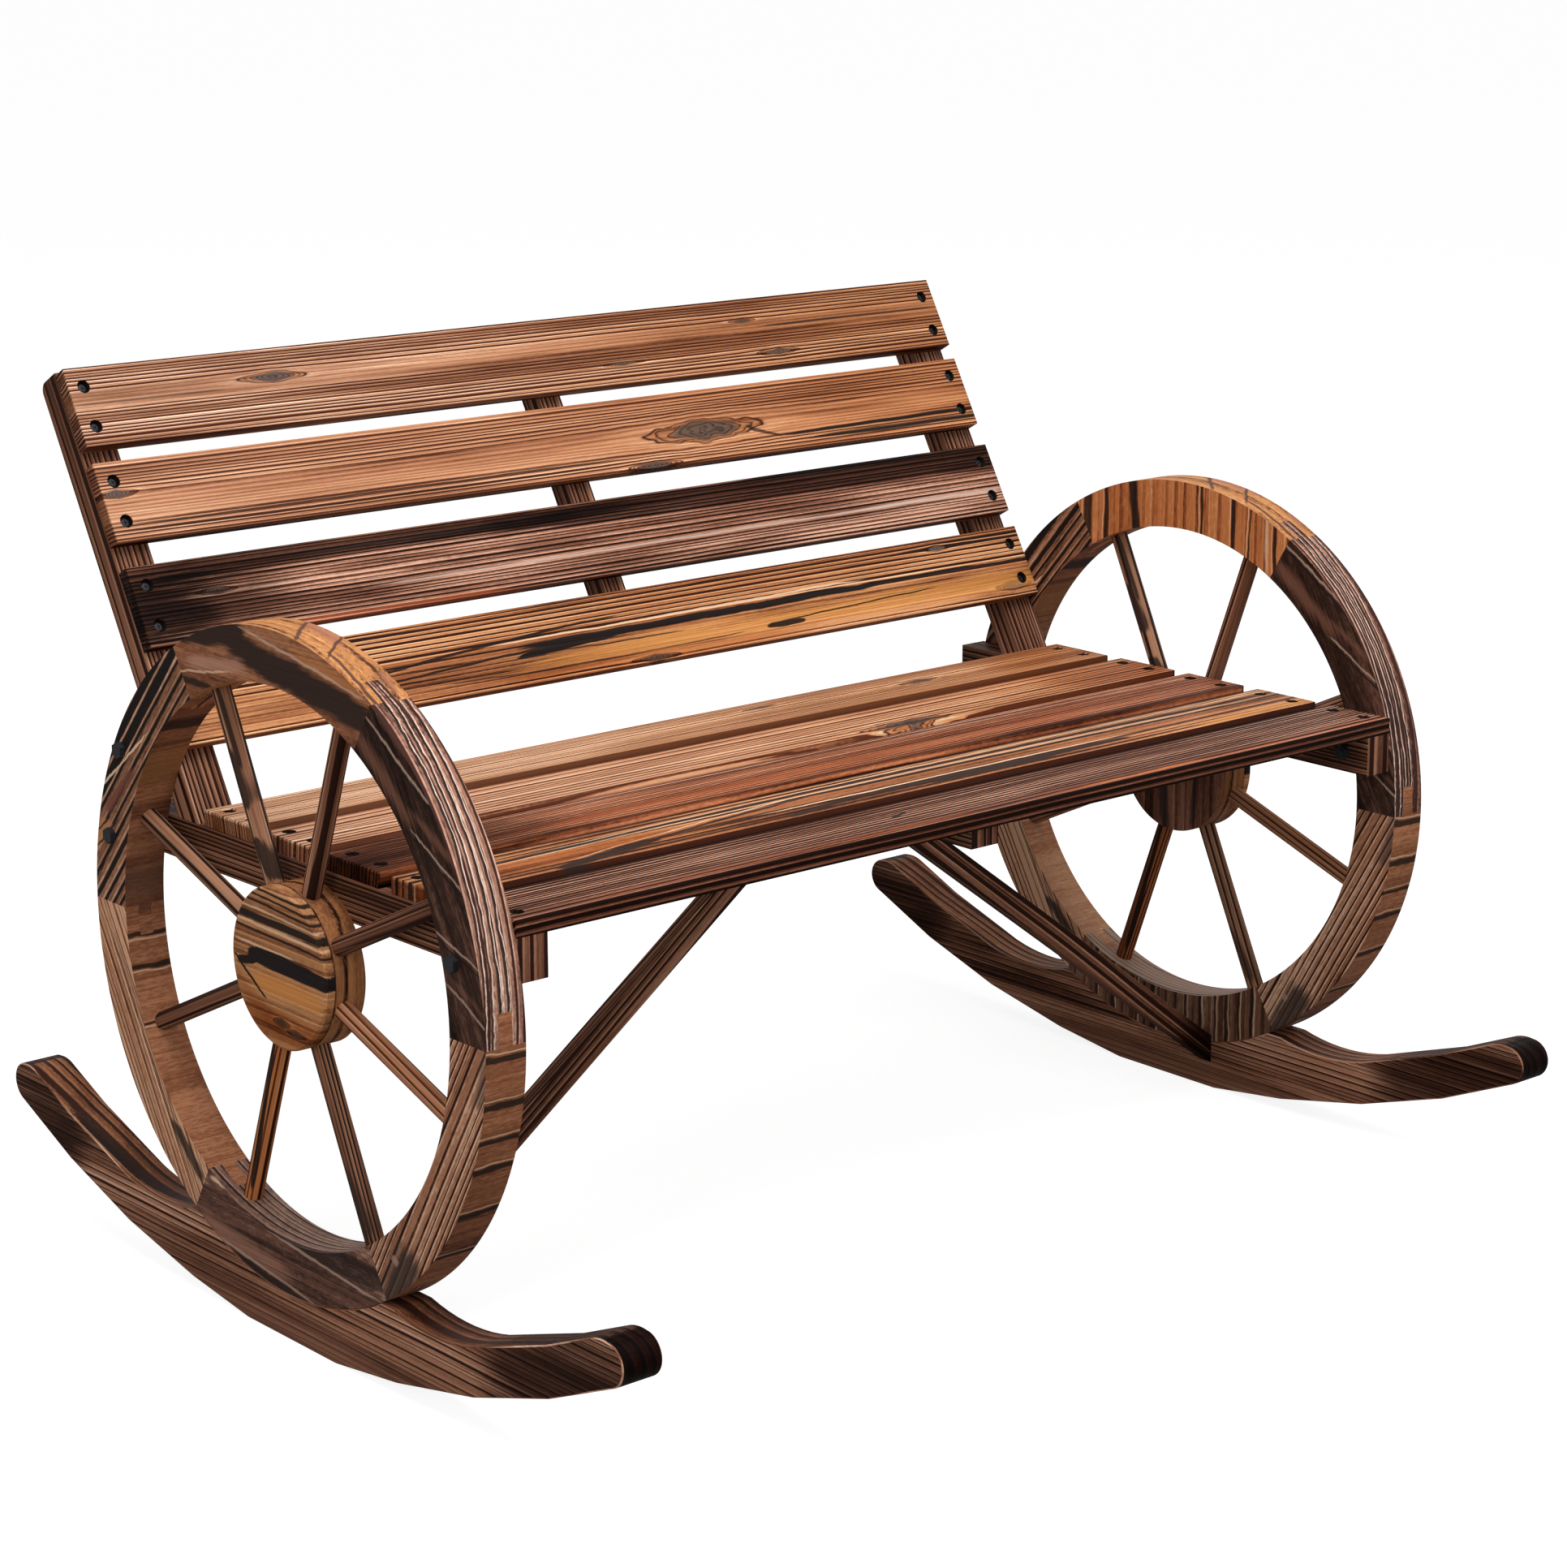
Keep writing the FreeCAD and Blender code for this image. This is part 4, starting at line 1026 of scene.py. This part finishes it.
# A pale colour for eased edges: partly wear, partly a painted highlight.
worn_edge_highlight = fir_material("worn edge", (0, 0, 0), grain_frame(Y, X), tones=MID_BROWN, seed=5.0,
                         ring=6.0, bright=0.30, lines=0.5)


def slot_of(name):
    return next((slot for word, slot in SLOTS.items() if word in name), "frame_bars")


def add_piece(name, mesh, material, slot, replaced=()):
    mesh.materials.clear()
    mesh.materials.append(material)
    piece = new_object(name, mesh)
    if replaced:
        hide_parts(*replaced)
    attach(piece, "root")


def eased_mesh(name, keep=None):
    """A welded copy of a node's mesh with bevelled edges."""
    shape = bmesh.new()
    shape.from_mesh(nodes[name].data)
    bmesh.ops.remove_doubles(shape, verts=shape.verts, dist=1e-6)
    bmesh.ops.dissolve_limit(shape, angle_limit=FLAT, verts=shape.verts, edges=shape.edges)
    edges = [edge for edge in shape.edges
             if len(edge.link_faces) == 2 and edge.calc_face_angle(0) > SHARP
             and (keep is None or keep(edge))]
    bmesh.ops.bevel(shape, geom=edges, offset=EASE, offset_type="OFFSET", segments=2,
                    profile=0.5, affect="EDGES", clamp_overlap=True)
    mesh = bpy.data.meshes.new(name + "_eased")
    shape.to_mesh(mesh)
    shape.free()
    for polygon in mesh.polygons:
        polygon.use_smooth = False
    return mesh


def along_rim(edge):
    """True for an edge that follows the rim's inner or outer circle."""
    radii = [math.hypot(vertex.co.y, vertex.co.z - AXLE.z) for vertex in edge.verts]
    same_x = abs(edge.verts[0].co.x - edge.verts[1].co.x) < 1e-5
    on_rim = all(min(abs(r - rim) for rim in RIM_RADII) < 3e-4 for r in radii)
    return same_x and on_rim and abs(radii[0] - radii[1]) < 1e-4


# A runner's eased bottom edge is pale: partly wear, partly a painted highlight. The flat faces of
# wheels and runners look sideways.
EDGE_FACING, FLAT_FACING = (0.3, 0.97), 0.7
made = 0
for name, node in nodes.items():
    if name in slat_frames:
        continue
    if name in ("wheel_bolts", "bolt_nuts") or "spoke" in name or "hub_cap" in name:
        node.data.materials.clear()
        node.data.materials.append(materials[name])
        continue
    mesh = eased_mesh(name, along_rim if "felloe" in name else None)
    add_piece(name + "_board", mesh, materials[name], slot_of(name), [name])
    if name in rim_materials:
        mesh.materials.append(rim_materials[name])
        mesh.materials.append(worn_edge_highlight)
        for polygon in mesh.polygons:
            facing = abs(polygon.normal.x)
            on_edge = "rocker" in name and EDGE_FACING[0] < facing < EDGE_FACING[1]
            polygon.material_index = 2 if on_edge else 0 if facing > FLAT_FACING else 1
    if name in end_materials:
        mesh.materials.append(end_materials[name])
        for polygon in mesh.polygons:
            polygon.material_index = 1 if polygon.normal.y < -FLAT_FACING else 0
    made += 1
print("eased boards", made)

# %% [markdown]
# The slats are seen closest, so their brushed grain is real relief. Wire brushing wears the soft
# early wood down, and the late lines stand proud. Each slat's face is cut into narrow strips, and
# a geometry-node tree lifts its points by the same rings that colour it.


# %% Brushed relief as geometry nodes
relief_rings = ring_group("GeometryNodeTree")
relief_knots = knot_group("GeometryNodeTree")
# Where the relief fades out towards a slat's long edges, in metres from its middle line.
FACE_EDGE = (0.0345, 0.0362)
CREST_LEVEL, FACE_DEPTH = 0.4, 0.00005


def coat(tree, geometry, given, put):
    """End a tree: copies become real, and the finish goes on."""
    real = wire(tree, "GeometryNodeRealizeInstances", {0: geometry})
    plug(wire(tree, "GeometryNodeSetMaterial", {"Geometry": real, "Material": given["Finish"]}),
         put["Geometry"])


def applied(obj, tree, values):
    """The plain mesh that a tree makes of an object, with values on the tree's named inputs."""
    modifier = obj.modifiers.new(tree.name, "NODES")
    modifier.node_group = tree
    for socket in tree.interface.items_tree:
        if socket.name in values and socket.in_out == "INPUT":
            modifier[socket.identifier] = values[socket.name]
    bpy.context.view_layer.update()
    seen = obj.evaluated_get(bpy.context.evaluated_depsgraph_get())
    mesh = bpy.data.meshes.new_from_object(seen)
    bpy.data.objects.remove(obj)
    return mesh


def relief_tree(name, origin, axes, look):
    """A modifier tree that lifts the face of one slat by its own rings."""
    tree, given, put = new_group("brushed " + name, "GeometryNodeTree",
                                 "Geometry, Relief Height, Finish", "Geometry")
    from_origin = wire(tree, "GeometryNodeInputPosition") - tuple(origin)
    along, across, out = (maths("DOT_PRODUCT", from_origin, tuple(axis)) for axis in axes)
    pattern, eye = ring_nodes(tree, "GeometryNodeGroup", relief_knots, relief_rings,
                              join(along, across, out), look)
    ring = {socket.name: Wire(socket) for socket in pattern.outputs}
    crest = ring["Ridge"] * 0.7 + ring["Line"] * 0.6
    crest = ring["Tone"] * 0.25 + crest
    if look.get("knots"):
        crest = smooth(eye, -0.1, 0.3) * 0.5 + crest
    inner = fading(maths("ABSOLUTE", across), *FACE_EDGE)
    lift = (crest - CREST_LEVEL) * inner * given["Relief Height"]
    offset = wire(tree, "ShaderNodeVectorMath", {0: tuple(axes[2]), "Scale": lift},
                  operation="SCALE")
    on_face = maths("LESS_THAN", maths("ABSOLUTE", out), FACE_DEPTH)
    moved = wire(tree, "GeometryNodeSetPosition",
                 {"Geometry": given["Geometry"], "Selection": on_face, "Offset": offset})
    coat(tree, moved, given, put)
    return tree


def cut_face(shape, origin, axes):
    """Cut the slat's face into strips across the grain and lengths along it."""
    face_geometry = set()
    for face in shape.faces:
        depth = (face.calc_center_median() - origin).dot(axes[2])
        if face.normal.dot(axes[2]) > 0.999 and abs(depth) < 1e-5:
            face_geometry.update([face, *face.edges, *face.verts])
    spreads = [[(vert.co - origin).dot(axis) for vert in shape.verts] for axis in axes[:2]]
    geometry = list(face_geometry)
    for direction in (1, 0):
        axis, low, high = axes[direction], min(spreads[direction]), max(spreads[direction])
        cuts = int((high - low) / CUT_STEPS[direction])
        for number in range(1, cuts):
            place = origin + axis * (low + number * (high - low) / cuts)
            result = bmesh.ops.bisect_plane(shape, geom=geometry, dist=1e-6, plane_co=place,
                                            plane_no=axis)
            geometry = result["geom"]


def bore_centres(shape, origin, axes):
    """The centres of the counterbores, from the points of their floors."""
    floors = {}
    for vert in shape.verts:
        along, across, out = [(vert.co - origin).dot(axis) for axis in axes]
        at_end = abs(along) > BORE_SEARCH[0] and abs(across) < BORE_SEARCH[1]
        if at_end and abs(out + BORE_DEPTH) < 2e-5:
            floors.setdefault((along > 0, across > 0), []).append(vert.co.copy())
    return [sum(points, Vector()) / len(points) for points in floors.values()]


# Sizes in metres. Bores are looked for beyond the first distance along a slat and within the
# second across it. A face is cut at these steps along the grain and across it.
BORE_DEPTH, BORE_RADIUS = 0.006, 0.00615
BORE_SEARCH = (0.49, 0.03)
RELIEF_HEIGHT = 0.00035
CUT_STEPS = (0.009, 0.00075)
SMOOTH_ANGLE = math.radians(40)
# The walls and floors of the bores are coloured near black: painted shade in the recess.
bore_shade = fir_material("charred bore", (0, 0, 0), (0, 0, 0), tones=CHARCOAL, seed=3.0, ring=3.0,
                         band=1.0, bright=-0.6)
screw_places = []
for name, (origin, angles, look) in slat_frames.items():
    axes = [Vector(column) for column in angles.to_matrix().transposed()]
    shape = bmesh.new()
    shape.from_mesh(eased_mesh(name))
    centres = bore_centres(shape, origin, axes)
    screw_places += [(centre, axes[2]) for centre in centres]
    cut_face(shape, origin, axes)
    plain_mesh = bpy.data.meshes.new(name + "_cut")
    shape.to_mesh(plain_mesh)
    shape.free()
    mesh = applied(new_object(name + "_blank", plain_mesh), relief_tree(name, origin, axes, look),
                   {"Relief Height": RELIEF_HEIGHT, "Finish": materials[name]})
    add_piece(name + "_board", mesh, materials[name], slot_of(name), [name])
    mesh.materials.append(bore_shade)
    for polygon in mesh.polygons:
        sunk = (origin - polygon.center).dot(axes[2])
        in_bore = any((polygon.center - centre).cross(axes[2]).length < BORE_RADIUS + 1e-4
                      for centre in centres)
        polygon.material_index = 1 if in_bore and 0.0005 < sunk < BORE_DEPTH + 1e-4 else 0
        polygon.use_smooth = True
    mesh.set_sharp_from_angle(angle=SMOOTH_ANGLE)
print("screw places", len(screw_places), "face count of a slat", len(mesh.polygons))

# %% [markdown]
# Every slat is held by two screws at each end. They sit at the bottom of the bores, black and
# round-headed with a cross for the driver. One screw is modelled. The node tree sets a copy on each
# point, turned to face out of its board, and makes them real.


# %% Screws by geometry nodes
SCREW_SIDES = 24
TURN_SEED = 7
CROSS = (1.9, 1.75, 0.75, 0.65, 0.75, 1.75)
SCREW_RINGS = [([4.7] * 6, 0.0), ([4.7] * 6, 1.1), ([4.2] * 6, 1.8), ([3.1] * 6, 2.35),
               (CROSS, 2.55), ([r * 0.8 for r in CROSS], 1.3)]


def lathe(name, ring_list, sides):
    """A mesh through rings of radii, in millimetres, closed at both ends."""
    points, faces = [], []
    for radii, height in ring_list:
        for step in range(sides):
            turn = 2 * math.pi * step / sides
            radius = radii[step % len(radii)] / 1000
            points.append((radius * math.cos(turn), radius * math.sin(turn), height / 1000))
    for level in range(len(ring_list) - 1):
        for step in range(sides):
            after = (step + 1) % sides
            low, high = level * sides, (level + 1) * sides
            faces.append((low + step, low + after, high + after, high + step))
    faces.append(tuple(reversed(range(sides))))
    faces.append(tuple(range((len(ring_list) - 1) * sides, len(ring_list) * sides)))
    mesh = bpy.data.meshes.new(name)
    mesh.from_pydata(points, [], faces)
    return mesh


def scatter_tree(name):
    """A tree that sets a copy of Part on every point, along its facing, and makes it real."""
    tree, given, put = new_group(name, "GeometryNodeTree", "Geometry, Part, Turn Seed, Finish",
                                 "Geometry")
    facing = Wire(add(tree, "GeometryNodeInputNamedAttribute", {"Name": "facing"},
                      data_type="FLOAT_VECTOR").outputs["Attribute"])
    upright = wire(tree, "FunctionNodeAlignRotationToVector", {"Vector": facing}, axis="Z")
    spin = add(tree, "FunctionNodeRandomValue", {"Seed": given["Turn Seed"], 3: math.pi},
               data_type="FLOAT")
    own_turn = wire(tree, "ShaderNodeCombineXYZ", {2: Wire(spin.outputs[1])})
    turned = wire(tree, "FunctionNodeRotateRotation",
                  {"Rotation": upright, "Rotate By": own_turn}, rotation_space="LOCAL")
    part = Wire(add(tree, "GeometryNodeObjectInfo", {"Object": given["Part"]}).outputs["Geometry"])
    copies = wire(tree, "GeometryNodeInstanceOnPoints",
                  {"Points": given["Geometry"], "Instance": part, "Rotation": turned})
    coat(tree, copies, given, put)
    return tree


part = new_object("slat_screws_part", lathe("screw", SCREW_RINGS, SCREW_SIDES))
cloud = bpy.data.meshes.new("slat_screws_places")
cloud.from_pydata([place for place, facing in screw_places], [], [])
facing = cloud.attributes.new("facing", "FLOAT_VECTOR", "POINT")
for item, (place, direction) in zip(facing.data, screw_places):
    item.vector = direction
mesh = applied(new_object("slat_screws_holder", cloud), scatter_tree("fasteners on points"),
               {"Part": part, "Turn Seed": TURN_SEED, "Finish": steel})
bpy.data.objects.remove(part)
add_piece("slat_screws", mesh, steel, "bolts")
print("screws", len(screw_places), "faces", len(mesh.polygons))
